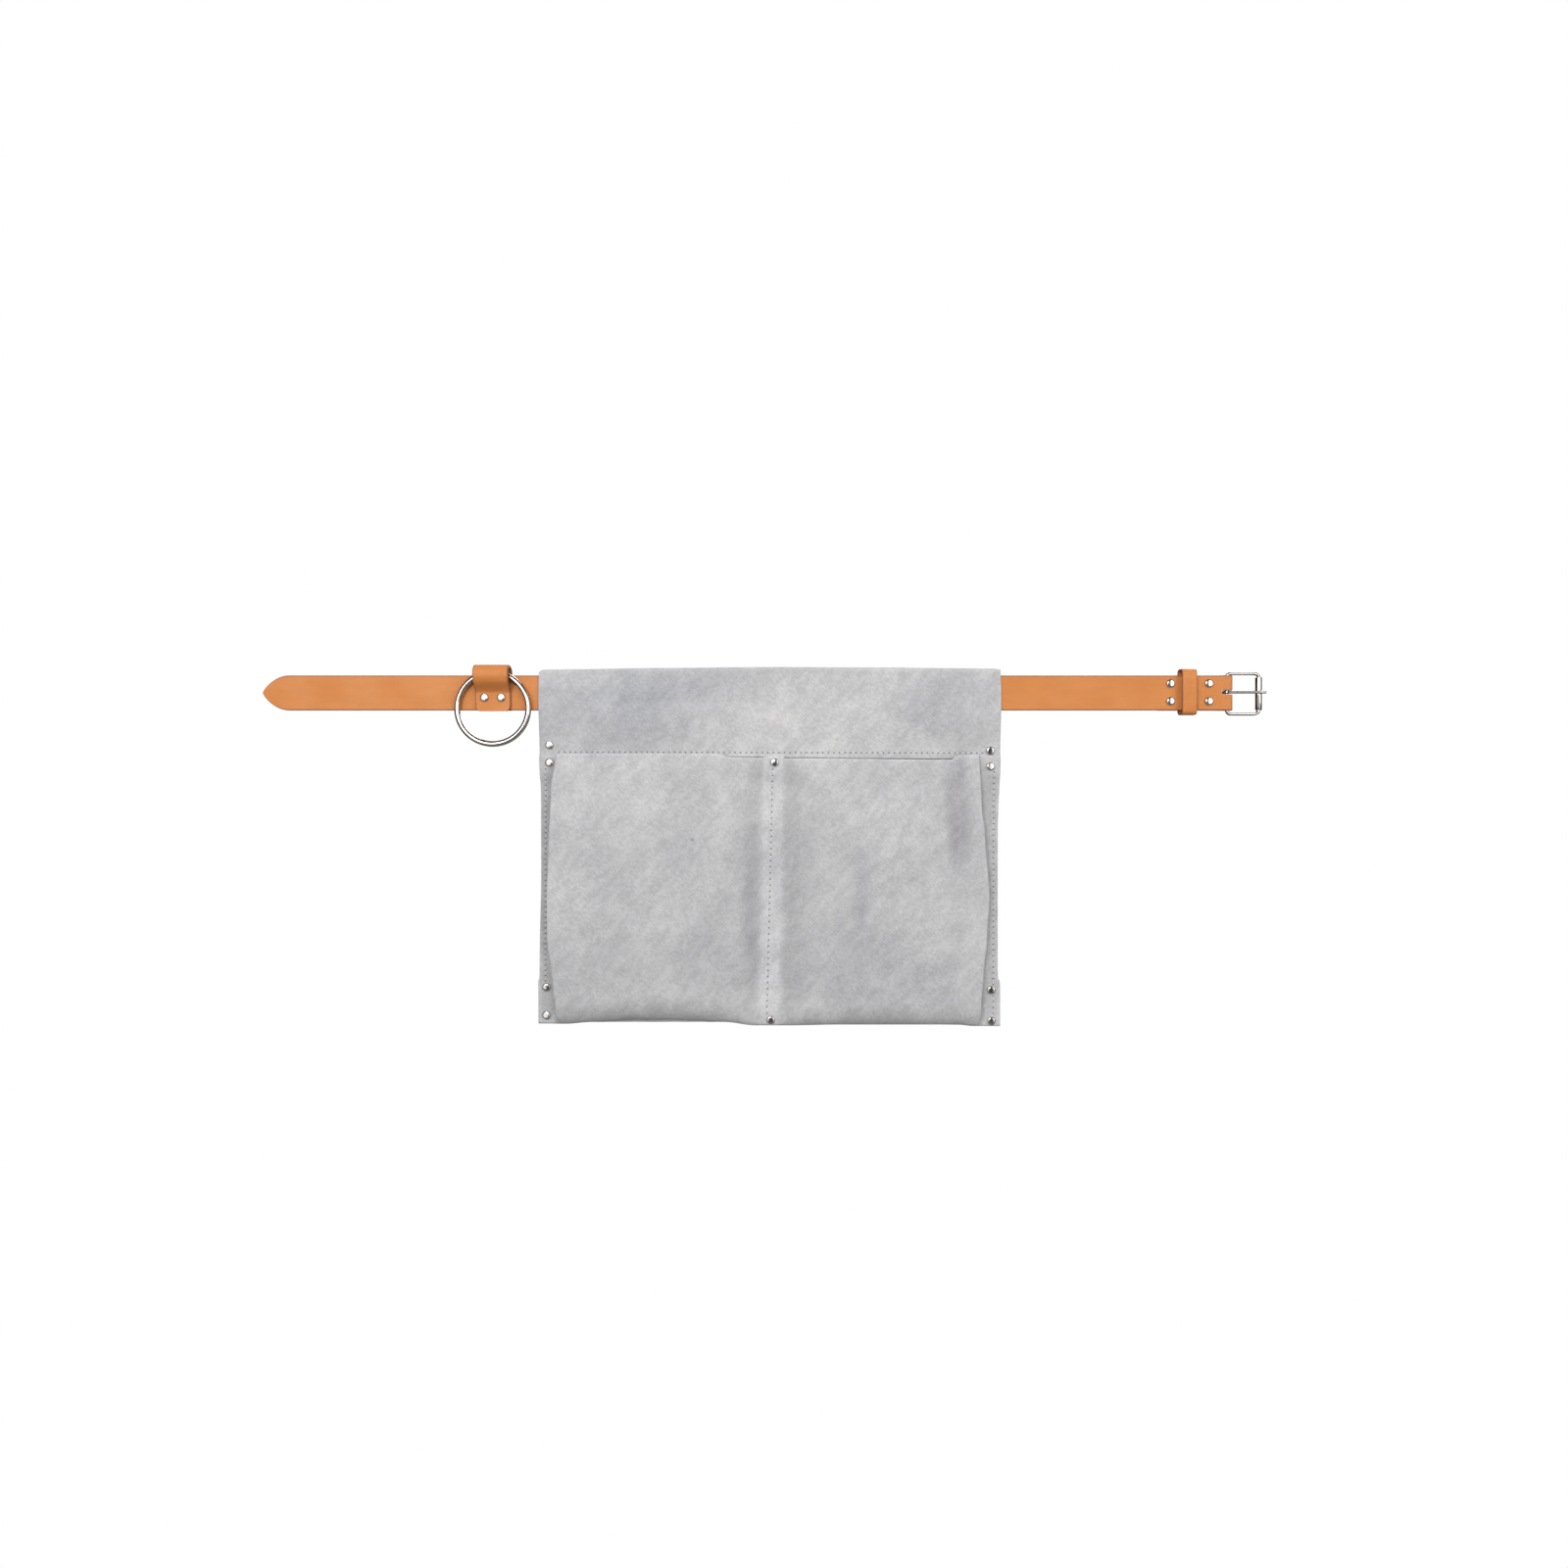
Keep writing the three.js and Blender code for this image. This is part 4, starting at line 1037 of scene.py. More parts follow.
@dataclass
class ApronBack:
    """The back panel, the fold over the belt and the flap that closes the belt's tunnel, all one hide."""

    hide: bpy.types.Material
    cut_edge: bpy.types.Material
    foot_z: float = -358.0
    fold_radius: float = 3.2
    fold_z: float = 20.9
    flap_depth: float = 7.3
    flap_flat_z: float = -17.0
    flap_land_z: float = -62.0
    flap_hem_z: float = -70.5
    set_in_z: float = -50.0
    set_in_run: float = 5.0
    columns: int = 181

    def path(self) -> list[tuple[float, float, float]]:
        """Gives the hide's profile at mid width.

        Returns:
            Each station's depth, height, and share of the top edge's rise that it takes.
        """
        panel = LEVELS.suede / 2
        stepped_z = self.set_in_z + self.set_in_run
        stations = [(panel + LEVELS.set_in, z, 0.0) for z in spread(self.foot_z, self.set_in_z, 78)]
        for z in spread(self.set_in_z, stepped_z, 3):
            back = ease((z - self.set_in_z) / self.set_in_run)
            stations.append((lerp(panel + LEVELS.set_in, panel, back), z, 0.0))
        stations += [(panel, z, ease((z + 30) / 45)) for z in spread(stepped_z, self.fold_z, 20)]
        for i in range(15):
            angle = math.pi * i / 14
            depth = panel + self.fold_radius - self.fold_radius * math.cos(angle)
            stations.append((depth, self.fold_z + self.fold_radius * math.sin(angle), 1.0))
        for z in spread(self.fold_z - 2.5, self.flap_flat_z, FLAP_FLAT_ROWS):
            stations.append((self.flap_depth, z, ease((z + 20) / 36)))
        for z in spread(self.flap_flat_z, self.flap_land_z, FLAP_SLOPE_ROWS):
            back = ease((self.flap_flat_z - z) / (self.flap_flat_z - self.flap_land_z))
            stations.append((lerp(self.flap_depth, LEVELS.margin, back), z, 0.0))
        hem = spread(self.flap_land_z, self.flap_hem_z, FLAP_HEM_ROWS) + [self.flap_hem_z]
        stations += [(LEVELS.margin, z, 0.0) for z in hem]
        return stations

    def build(self) -> bpy.types.Object:
        """Builds the hide and returns it."""
        path = self.path()
        front_from = len(path) - FLAP_ROWS

        def place(column: int, row: int) -> Vector:
            """Places one point of the hide."""
            depth, z, rise = path[row]
            share = column / (self.columns - 1)
            edges = [hide_edge(side, z) for side in (Side.LEFT, Side.RIGHT)]
            narrow = 0.7 if row < front_from and z < -72 else 0.0
            x = lerp(edges[0] + narrow, edges[1] - narrow, share)
            z += along_profile(TOP_EDGE, x) * rise
            if row >= front_from:
                low = (along_profile(FLAP_EDGE, x) - self.flap_hem_z) * ease((-52 - path[row][1]) / 18)
                z += low + 0.25 * ripple(x, z, 9, 4.0) * ease((-66 - path[row][1]) / 5)
                loose = ease((22 - path[row][1]) / 12) * ease((path[row][1] + 58) / 20)
                depth += loose * (0.45 * ripple(x, z, 70, 1.0) + 0.25 * ripple(x, z, 28, 2.0))
            if row == 0:
                z += 0.3 * ripple(x, z, 12, 5.0)
            return Vector((x, -depth, z))

        piece = grid(self.columns, len(path), place).piece("hide_back", [self.hide, self.cut_edge])
        thicken(piece, LEVELS.suede, 0.35)
        settle(piece, Body.APRON, Slot.SUEDE, "apron_back")
        return piece


@dataclass(frozen=True)
class Crease:
    """A soft furrow, or with a depth below zero a ridge, in a pocket's front."""

    start: Point
    end: Point
    half: float
    depth: float


CREASES = {
    Side.LEFT: (
        Crease((-44, -176), (-118, -262), 15, 1.0),
        Crease((-30, -212), (-86, -318), 13, 0.9),
        Crease((-52, -190), (-104, -290), 10, -0.6),
        Crease((-60, -96), (-96, -168), 11, 0.7),
        Crease((-200, -150), (-150, -300), 22, 0.8),
    ),
    Side.RIGHT: (
        Crease((198, -40), (206, -215), 16, 4.0),
        Crease((181, -50), (188, -200), 13, -1.2),
        Crease((96, -128), (98, -292), 7, 1.0),
        Crease((150, -236), (196, -330), 17, 0.9),
        Crease((40, -240), (78, -332), 15, 0.7),
    ),
}


@dataclass(frozen=True)
class Zone:
    """Where a column of the pocket hide lies: its side, the part of the width, and the share through it."""

    side: Side
    part: str
    share: float


# across the pleat, from the flat margin to the pocket's front: how far out from the fold, share of the depth
PLEAT: Sequence[Point] = (
    (9.0, 0.0), (4.5, 0.0), (1.4, 0.04), (0.1, 0.20), (-0.3, 0.42), (0.2, 0.62), (1.3, 0.80), (1.6, 0.90),
    (1.0, 0.97), (-0.8, 1.0), (-4.0, 1.0),
)
FOLD_REACH = 1.6
# painted shade in the flat margin strips and on the pleats' inner sides, deeper on the left
MARGIN_SHADE = {Side.LEFT: 0.75, Side.RIGHT: 0.4}
PLEAT_SHADE = {Side.LEFT: 0.9, Side.RIGHT: 0.35}
LEFT_FOLD: Profile = (
    (-66, -230.8), (-105, -236.2), (-168, -238.3), (-227, -240.1), (-267, -239.6), (-302, -235.2),
    (-322, -233.0), (-349.5, -228.2),
)
RIGHT_FOLD: Profile = (
    (-66, 225.4), (-123, 227.6), (-152, 230.9), (-222, 235.6), (-267, 233.0), (-302, 229.5), (-344, 226.8),
    (-353, 224.6),
)
FOOT_EDGE: Profile = (
    (-251, -359.8), (-232, -360.0), (-200, -358.0), (-150, -355.4), (-100, -355.6), (-49, -358.0),
    (-14, -361.8), (20, -361.8), (79, -360.8), (190, -360.8), (212, -361.0), (228, -362.4), (250, -362.6),
)
MOUTH_EDGE: Profile = (
    (-251, -68.4), (-232, -67.6), (-225, -66.2), (-120, -65.6), (-62, -66.0), (-42, -70.0), (-8, -70.3),
    (-2, -68.4), (11, -68.4), (17, -71.0), (196, -72.6), (203, -67.8), (228, -67.2), (238, -68.4),
    (250, -68.6),
)


@dataclass
class PocketPanel:
    """The hide that makes both pockets, pleated at its sides and wrapped round the apron's foot."""

    hide: bpy.types.Material
    cut_edge: bpy.types.Material
    mouth_z: float = -68.5
    fall: float = 291.0
    mouth_depth: float = 11.0
    belly_depth: float = 17.0
    foot_depth: float = 14.0
    foot_round: float = 24.0
    foot_lead: float = 1.5
    channel_half: float = 9.0
    channel_run: float = 40.0
    channel_top_x: float = 3.7
    channel_foot_x: float = -1.6
    channel_top_z: float = -70.0
    channel_fall: float = 290.0
    step_start_z: float = -86.0
    step_end_z: float = -100.0
    wrap_top_z: float = -312.4
    zones: list[Zone] = field(default_factory=list)

    def __post_init__(self) -> None:
        """Lays out the columns from the left edge to the right."""
        half = [("margin", share) for share in spread(0, 1, 6)]
        half += [("pleat", share) for share in spread(0, 1, 22)]
        half += [("front", share) for share in spread(0, 1, 64)]
        half += [("channel", share) for share in spread(0, 1, 5)]
        self.zones = [Zone(Side.LEFT, part, share) for part, share in half]
        self.zones += [Zone(Side.RIGHT, "channel", 1.0)]
        self.zones += [Zone(Side.RIGHT, part, share) for part, share in reversed(half)]

    def margin(self, z: float) -> float:
        """Returns the depth of the flat margins and the channel at a height."""
        stepped = ease((self.step_start_z - z) / (self.step_start_z - self.step_end_z))
        return lerp(LEVELS.over_flap, LEVELS.margin, stepped)

    def channel_x(self, z: float) -> float:
        """Returns the middle of the sewn channel at a height."""
        return lerp(self.channel_top_x, self.channel_foot_x, (self.channel_top_z - z) / self.channel_fall)

    def front(self, x: float, z: float) -> float:
        """Gives the depth of a pocket's front.

        Args:
            x: Across the apron, in mm.
            z: Up it.

        Returns:
            How far it stands in front of the apron's back face.
        """
        down = min(max((self.mouth_z - z) / self.fall, 0.0), 1.0)
        ends = lerp(self.mouth_depth, self.foot_depth, down)
        fullness = self.belly_depth - (self.mouth_depth + self.foot_depth) / 2
        depth = ends + fullness * math.sin(math.pi * down)
        depth += 0.9 * ripple(x, z, 95, 7.0) + 0.45 * ripple(x, z, 38, 8.0)
        for crease in CREASES[Side.LEFT if x < 0 else Side.RIGHT]:
            depth -= crease.depth * furrow(x, z, crease.start, crease.end, crease.half)
        margin = self.margin(z)
        away = (abs(x - self.channel_x(z)) - self.channel_half) / self.channel_run
        rise = ease(away) * 0.55 + math.sin(math.pi / 2 * min(max(away, 0.0), 1.0)) * 0.45
        return margin + max(depth - margin, 0.0) * rise

    def across(self, zone: Zone, z: float) -> tuple[float, float, float]:
        """Places a column at a height of the front.

        Args:
            zone: The column.
            z: The height.

        Returns:
            Its place across, its place across with the pleat pressed flat, and its depth.
        """
        sign = zone.side.value
        fold = along_profile(LEFT_FOLD if zone.side is Side.LEFT else RIGHT_FOLD, z)
        start = fold + sign * (PLEAT[0][0] - FOLD_REACH)
        inner = fold + sign * (PLEAT[-1][0] - FOLD_REACH)
        channel = self.channel_x(z) + sign * self.channel_half
        margin = self.margin(z)
        if zone.part == "margin":
            x = lerp(hide_edge(zone.side, z), start, zone.share)
            return x, x, margin
        if zone.part == "pleat":
            at = zone.share * (len(PLEAT) - 1)
            index = min(int(at), len(PLEAT) - 2)
            out = lerp(PLEAT[index][0], PLEAT[index + 1][0], at - index)
            deep = lerp(PLEAT[index][1], PLEAT[index + 1][1], at - index)
            full = self.front(inner, z)
            pressed = lerp(start, inner, zone.share)
            return fold + sign * (out - FOLD_REACH), pressed, lerp(margin, full, deep)
        if zone.part == "front":
            x = lerp(inner, channel, zone.share)
            return x, x, self.front(x, z)
        x = lerp(channel, self.channel_x(z), zone.share)
        return x, x, margin

    def rows(self) -> list[float]:
        """Returns the rows: 0 to 1 down the front, to 2 under the foot, to 3 behind it, to 4 up the wrap."""
        front = spread(0, 0.11, 14) + spread(0.11, 1, 92)
        return front + spread(1, 2, 16) + spread(2, 3, 7) + spread(3, 4, 16) + [4.0]

    def point(self, zone: Zone, row: float) -> Vector:
        """Places a point of the hide's middle.

        Args:
            zone: Its column.
            row: Its row, from 0 to 4.

        Returns:
            Its place, in mm.
        """
        x_guess = self.across(zone, -200)[0]
        foot_z = along_profile(FOOT_EDGE, x_guess) + LEVELS.suede / 2
        belly_z = foot_z + self.foot_round + self.foot_lead
        if row <= 1:
            x, _, _ = self.across(zone, -70)
            z = lerp(along_profile(MOUTH_EDGE, x), belly_z, row)
            x, _, depth = self.across(zone, z)
            return Vector((x, -depth, z))
        x, flat_x, depth = self.across(zone, belly_z)
        centre = -LEVELS.suede / 2 - LEVELS.set_in
        radius = LEVELS.behind - centre
        reach = depth + centre
        high = radius + (self.foot_round - radius) * min(max((reach - radius) / 10, 0.0), 1.0)
        flat = ease((row - 1.25) / 0.6)
        x = lerp(x, flat_x, flat)
        if row <= 2:
            start = (belly_z - foot_z - high) / (self.foot_round + self.foot_lead)
            lead = 0.5 * start
            turn = max((row - 1 - lead) / (1 - lead), 0.0)
            angle = turn * math.pi / 2
            z = foot_z + high - high * math.sin(angle)
            if turn == 0.0:
                z = lerp(belly_z, foot_z + high, (row - 1) / lead)
            return Vector((x, centre - reach * math.cos(angle), z))
        if row <= 3:
            angle = (row - 2) * math.pi / 2
            turned = foot_z + radius - radius * math.cos(angle)
            return Vector((x, centre + radius * math.sin(angle), turned))
        top = self.wrap_top_z + 0.4 * ripple(x, 0, 40, 9.0)
        return Vector((x, LEVELS.behind, lerp(foot_z + radius, top, row - 3)))

    def wear_and_shading(self, zone: Zone, row: float) -> float:
        """Gives the hide's painted light and shade: painted highlights on the folds, the channel and the
        mouth, painted shade in the corners.

        Args:
            zone: The column.
            row: The row, from 0 to 4.

        Returns:
            From -1 for the deepest painted shade to 1 for the brightest painted highlight.
        """
        if row > 2:
            return 0.0
        fade = 1.0 - ease((row - 1) / 0.5)
        # painted highlight along the mouth's edge, on the first rows
        rim = 0.5 * (1 - ease(row / 0.012))
        if zone.part == "margin":
            # painted shade in the margin strip beside the pleat
            return -MARGIN_SHADE[zone.side] * ease(zone.share * 2.5) * ease((row - 0.02) / 0.1) * fade + rim
        if zone.part == "pleat":
            # painted highlight along the pleat's fold, painted shade on its inner side
            crest = math.exp(-(((zone.share - 0.66) / 0.12) ** 2))
            inner = ease((zone.share - 0.5) / 0.1)
            return (crest * 0.9 - PLEAT_SHADE[zone.side] * (1 - inner)) * fade * ease(row / 0.06) + rim
        if zone.part == "front":
            # painted shade in a dip beside the channel, painted light where the front meets the channel
            dip = ease((zone.share - 0.88) / 0.06) * (1 - ease((zone.share - 0.96) / 0.03))
            light = ease((zone.share - 0.98) / 0.02)
            return (0.45 * light - 0.3 * dip) * fade + rim
        # painted light on the channel
        return 0.45 * fade + rim * 0.5

    def build(self) -> bpy.types.Object:
        """Builds the hide and returns it."""
        rows = self.rows()

        def place(column: int, row: int) -> Vector:
            """Places one point of the hide."""
            return self.point(self.zones[column], rows[row])

        def wear_and_shading(column: int, row: int) -> float:
            """Gives the painted light and shade of one point of the hide."""
            return self.wear_and_shading(self.zones[column], rows[row])

        shape = grid(len(self.zones), len(rows), place, wear_and_shading)
        piece = shape.piece("hide_pockets", [self.hide, self.cut_edge])
        thicken(piece, LEVELS.suede, 0.35)
        settle(piece, Body.APRON, Slot.SUEDE, "pocket_panel")
        return piece


# ---------------------------------------------------------------- seams

WRAP_EDGE_Z = -313.0
SEAM_ROWS = {
    "tunnel": HoleRow((-229.5, -64.1), (230.5, -65.4), 6.0),
    "left": HoleRow((-244.0, -83.0), (-244.4, -313.0), 5.8),
    "right": HoleRow((242.8, -86.0), (242.2, -348.0), 6.2),
    "centre": HoleRow((2.7, -83.0), (-3.7, -348.0), 6.6),
}


@dataclass
class Seams:
    """The lock stitches, each one a short slack loop from needle hole to needle hole, on both faces."""

    thread: bpy.types.Material
    panel: PocketPanel
    diameter: float = 0.8
    sides: int = 6
    flattened: float = 0.8
    hole_share: float = 0.12
    rise: Sequence[Point] = ((0, -0.55), (0.12, 0.05), (0.35, 0.3), (0.65, 0.3), (0.88, 0.05), (1, -0.55))

    def face(self, name: str, z: float) -> float:
        """Returns the depth of the front face under a seam."""
        lying = LEVELS.margin if name == "tunnel" else self.panel.margin(z)
        return lying + LEVELS.suede / 2

    def build(self) -> None:
        """Builds the four seams."""
        for name, row in SEAM_ROWS.items():
            shape = Shape()
            start, end = Vector(row.start), Vector(row.end)
            section = Section.round_wire(self.diameter, self.sides, self.flattened)
            for i in range(row.count):
                first = start.lerp(end, (i + self.hole_share) / row.count)
                last = start.lerp(end, (i + 1 - self.hole_share) / row.count)
                behind = LEVELS.behind + LEVELS.suede / 2 if last.y < WRAP_EDGE_Z else 0.0
                for depth, out in ((self.face(name, first.y), 1), (-behind, -1)):
                    path = []
                    for share, lift in self.rise:
                        spot = first.lerp(last, share)
                        path.append(Vector((spot.x, -(depth + out * lift), spot.y)) * MM)
                    along = (path[-1] - path[0]).normalized()
                    shape.sweep(section, wire_stations(path, along.cross(Vector((0, 1, 0)))))
            piece = shape.close().soften(80).piece(f"stitches_{name}", [self.thread])
            settle(piece, Body.APRON, Slot.THREAD, f"thread_{name}")


# ---------------------------------------------------------------- rivets


# how far each cap leans from its hammering, in degrees about Z and about X
TILTS = {
    "rivet_mouth_left_cap": (-5.0, 0.0),
    "rivet_mouth_right_cap": (5.0, 0.0),
    "rivet_tunnel_right_cap": (-1.5, 1.0),
    "rivet_foot_left_cap": (-5.0, -2.5),
    "rivet_side_left_cap": (-0.5, 1.5),
    "rivet_foot_right_cap": (-2.0, 1.0),
    "rivet_side_right_cap": (-2.0, 0.5),
    "rivet_tab_1_cap": (-3.5, -1.0),
    "rivet_tab_2_cap": (-3.0, -0.5),
}


@dataclass
class Rivets:
    """Double-cap rivets, each half in the place of its CAD node."""

    metal: bpy.types.Material
    steps: int = 28
    cap_height: float = 2.0
    back_height: float = 1.6
    stem_radius: float = 1.7
    post_radius: float = 0.8
    dome: Sequence[Point] = (
        (1.0, 0.0), (1.0, 0.26), (0.985, 0.44), (0.94, 0.64), (0.87, 0.80), (0.75, 0.91), (0.58, 0.968),
        (0.3, 0.994), (0.0, 1.0),
    )

    def build(self) -> None:
        """Builds every rivet half that the CAD has."""
        for node in sorted(frame["nodes"]):
            if node.startswith("rivet_"):
                self.half(node)

    def half(self, node: str) -> None:
        """Builds one half.

        Args:
            node: Its CAD node.
        """
        box = Extent.of(node)
        front = node.endswith("_cap")
        radius = box.size.z / 2 / MM
        height = self.cap_height if front else self.back_height
        shank = self.stem_radius if front else self.post_radius
        long = box.size.y / MM - height
        axis = Vector((0, -1, 0)) if front else Vector((0, 1, 0))
        seat_y = box.low.y + height * MM if front else box.high.y - height * MM
        seat = Vector((box.centre.x, seat_y, box.centre.z))
        chamfer, curl = 0.2, 0.12
        profile = [(0.0, -long), (shank - chamfer, -long), (shank, -long + chamfer), (shank, 0.0)]
        profile += [(radius * 0.96, 0.0)]
        profile += [(radius * out, curl + up * (height - curl)) for out, up in self.dome]
        shape = Shape().turn(profile, seat, axis, self.steps)
        aside, down = TILTS.get(node, (0.0, 0.0))
        tilt = Matrix.Rotation(math.radians(aside), 3, "Z") @ Matrix.Rotation(math.radians(down), 3, "X")
        bmesh.ops.rotate(shape.mesh, verts=shape.mesh.verts[:], cent=seat, matrix=tilt)
        piece = shape.close().soften(50).piece(f"{node}_plated", [self.metal])
        body = Body.APRON if node in frame_body(Body.APRON) else Body.BELT
        settle(piece, body, Slot.RIVET, node)


def frame_body(body: Body) -> list[str]:
    """Returns the CAD nodes of a body."""
    return list(frame["record"]["behaviour"]["bodies"][body.value])


# ---------------------------------------------------------------- belt


@dataclass
class Belt:
    """The strap, folded back round the buckle's heel bar, and the tab that holds the ring."""

    leather: bpy.types.Material
    width: float = 38.0
    thickness: float = 3.5
    back_y: float = -2.1
    gap: float = 0.3
    heel_x: float = 497.0
    heel_y: float = -1.95
    heel_wire: float = 3.8
    wire_play: float = 0.3
    fold_return: float = 75.0
    fold_flare: float = 17.0
    tip_x: float = -551.0
    tip_length: float = 28.0
    tip_bluntness: float = 0.69
    tip_steps: int = 20
    slot_start: float = 489.6
    slot_high: float = 5.2
    slot_z: float = 0.8
    ring_hinge: Point = (-12.546, 18.893)
    loop_room: float = 7.4
    loop_lead: float = 0.5
    loop_leave: float = 0.25
    leaf_bend_z: float = -0.5
    loop_drop: float = 5.5

    def strap_path(self) -> tuple[list[Vector], list[float]]:
        """Gives the strap's middle and its width.

        Returns:
            The stations in metres, and the share of the full width at each.
        """
        y = self.back_y - self.thickness / 2
        return_y = self.back_y + self.gap + self.thickness / 2
        points, widths = [], []
        for i in range(self.tip_steps + 1):
            out = self.tip_length * (i / self.tip_steps) ** 2
            points.append(Vector((self.tip_x + out, y, 0)))
            widths.append(max(math.sin(math.pi / 2 * out / self.tip_length) ** self.tip_bluntness, 0.03))
        shoulder = self.tip_x + self.tip_length
        flare = self.heel_x - self.fold_flare
        for x in spread(shoulder + 4, flare, 60):
            points.append(Vector((x, y, 0)))
        bend = self.heel_wire / 2 + self.wire_play + self.thickness / 2
        for t in spread(0, 1, 10):
            height = lerp(y, self.heel_y - bend, ease(t))
            points.append(Vector((lerp(flare, self.heel_x, t), height, 0)))
        for i in range(17):
            angle = -math.pi / 2 + math.pi * i / 16
            along, back = bend * math.cos(angle), bend * math.sin(angle)
            points.append(Vector((self.heel_x + along, self.heel_y + back, 0)))
        for t in spread(0.1, 1, 9):
            height = lerp(self.heel_y + bend, return_y, ease(t))
            points.append(Vector((lerp(self.heel_x, flare, t), height, 0)))
        end = self.heel_x - self.fold_return
        for x in spread(flare, end, 10):
            points.append(Vector((x, return_y, 0)))
        points.append(Vector((end, return_y, 0)))
        widths += [1.0] * (len(points) - len(widths))
        return [point * MM for point in points], widths

    def slot_cutter(self) -> bpy.types.Object:
        """Makes the round-ended block that cuts the tongue's slot, and returns it."""
        shape = Shape()
        radius = self.slot_high / 2 * MM
        made = bmesh.ops.create_cone(
            shape.mesh, cap_ends=True, segments=24, radius1=radius, radius2=radius, depth=0.04,
            matrix=Matrix.Rotation(math.pi / 2, 4, "X"),
        )["verts"]
        long = (self.heel_x + 20 - self.slot_start - self.slot_high / 2) * MM
        far = [corner for corner in made if corner.co.x > 1e-5]
        bmesh.ops.translate(shape.mesh, verts=far, vec=(long, 0, 0))
        start = Vector(((self.slot_start + self.slot_high / 2), 0, self.slot_z)) * MM
        bmesh.ops.translate(shape.mesh, verts=shape.mesh.verts[:], vec=start)
        return shape.close().piece("slot_cutter", [self.leather])

    def build_strap(self) -> bpy.types.Object:
        """Builds the strap and returns it."""
        path, widths = self.strap_path()
        section = Section.strip(self.width, self.thickness)
        stations = strip_stations(path, Vector((0, 0, 1)), widths)
        piece = Shape().sweep(section, stations).close().soften().piece("strap_tanned", [self.leather])
        cutter = self.slot_cutter()
        slot = piece.modifiers.new("slot", "BOOLEAN")
        slot.operation = "DIFFERENCE"
        slot.object = cutter
        slot.solver = "EXACT"
        apply_modifiers(piece)
        bpy.data.objects.remove(cutter)
        settle(piece, Body.BELT, Slot.STRAP, "belt_strap")
        return piece

    def tab_path(self) -> tuple[list[Vector], list[float]]:
        """Gives the ring tab's middle and its width, from its front lower end over the loop to its back end.

        Returns:
            The stations in metres, and the share of the full width at each.
        """
        x = Extent.of("ring_tab").centre.x / MM
        hinge_y, hinge_z = self.ring_hinge
        loop = self.loop_room + self.thickness / 2
        front_y = self.back_y - self.thickness - self.gap - self.thickness / 2
        rear_y = self.back_y + self.gap + self.thickness / 2
        half = self.width / 2
        corner, crown = 4.5, 0.9
        flat, widths = [], []
        for t in (0.0, 0.06, 0.2, 0.4, 0.65, 1.0):
            up = corner * t
            wide = half - corner + math.sqrt(max(corner ** 2 - (corner - up) ** 2, 0))
            flat.append(Vector((front_y, -half - crown + up * (1 + crown / corner))))
            widths.append(wide / half)
        flat += [Vector((front_y, z)) for z in (-12, -8, -4, self.leaf_bend_z)]
        back, rise = loop * math.cos(self.loop_lead), loop * math.sin(self.loop_lead)
        lead_end = Vector((hinge_y - back, hinge_z - rise))
        lead = [
            Vector((front_y, self.leaf_bend_z)), Vector((front_y, 4)),
            Vector((lead_end.x + loop / 16, lead_end.y - loop / 2)), lead_end,
        ]
        flat += bezier(lead, 10)[1:]
        for i in range(1, 19):
            angle = math.pi + self.loop_lead - (math.pi / 2 + (self.loop_lead + self.loop_leave)) * i / 18
            back, rise = loop * math.cos(angle), loop * math.sin(angle)
            flat.append(Vector((hinge_y + back, hinge_z + rise)))
        last = flat[-1]
        drop = [
            last,
            Vector((last.x + (rear_y - last.x) * 0.75, last.y - 2)),
            Vector((rear_y, half + self.loop_drop)),
            Vector((rear_y, half - 2)),
        ]
        flat += bezier(drop, 10)[1:]
        flat += [Vector((rear_y, z)) for z in (10, 0, -10, -half)]
        widths += [1.0] * (len(flat) - len(widths))
        return [Vector((x, point.x, point.y)) * MM for point in flat], widths

    def build_tab(self) -> bpy.types.Object:
        """Builds the ring tab and returns it."""
        path, widths = self.tab_path()
        section = Section.strip(self.width, self.thickness)
        stations = strip_stations(path, Vector((1, 0, 0)), widths)
        piece = Shape().sweep(section, stations).close().soften().piece("tab_tanned", [self.leather])
        settle(piece, Body.BELT, Slot.STRAP, "ring_tab")
        return piece


def bezier(corners: Sequence[Vector], steps: int) -> list[Vector]:
    """Draws a cubic curve with four control points.

    Args:
        corners: The control points.
        steps: Stretches along it.

    Returns:
        Its stations, both ends included.
    """
    a, b, c, d = corners
    path = []
    for i in range(steps + 1):
        t = i / steps
        path.append(a * (1 - t) ** 3 + b * (3 * t * (1 - t) ** 2) + c * (3 * t * t * (1 - t)) + d * t ** 3)
    return path


@dataclass
class Ring:
    """The polished ring, with the faint bead of its weld."""

    metal: bpy.types.Material
    wire: float = 6.2
    steps: int = 112

    def build(self) -> bpy.types.Object:
        """Builds the ring and returns it."""
        box = Extent.of("o_ring")
        middle = box.centre
        radius = box.size.z / 2 - self.wire / 2 * MM
        stations = []
        for i in range(self.steps):
            angle = 2 * math.pi * i / self.steps
            out = Vector((math.cos(angle), 0, math.sin(angle)))
            bead = 1.0 + 0.02 * math.exp(-(((i - self.steps * 0.22) / 1.1) ** 2))
            stations.append(ring_station(out, middle + out * radius, bead))
        shape = Shape().sweep(Section.round_wire(self.wire, 22), stations, closed=True)
        piece = shape.close().soften(180).piece("ring_polished", [self.metal])
        settle(piece, Body.RING, Slot.NICKEL, "o_ring")
        return piece


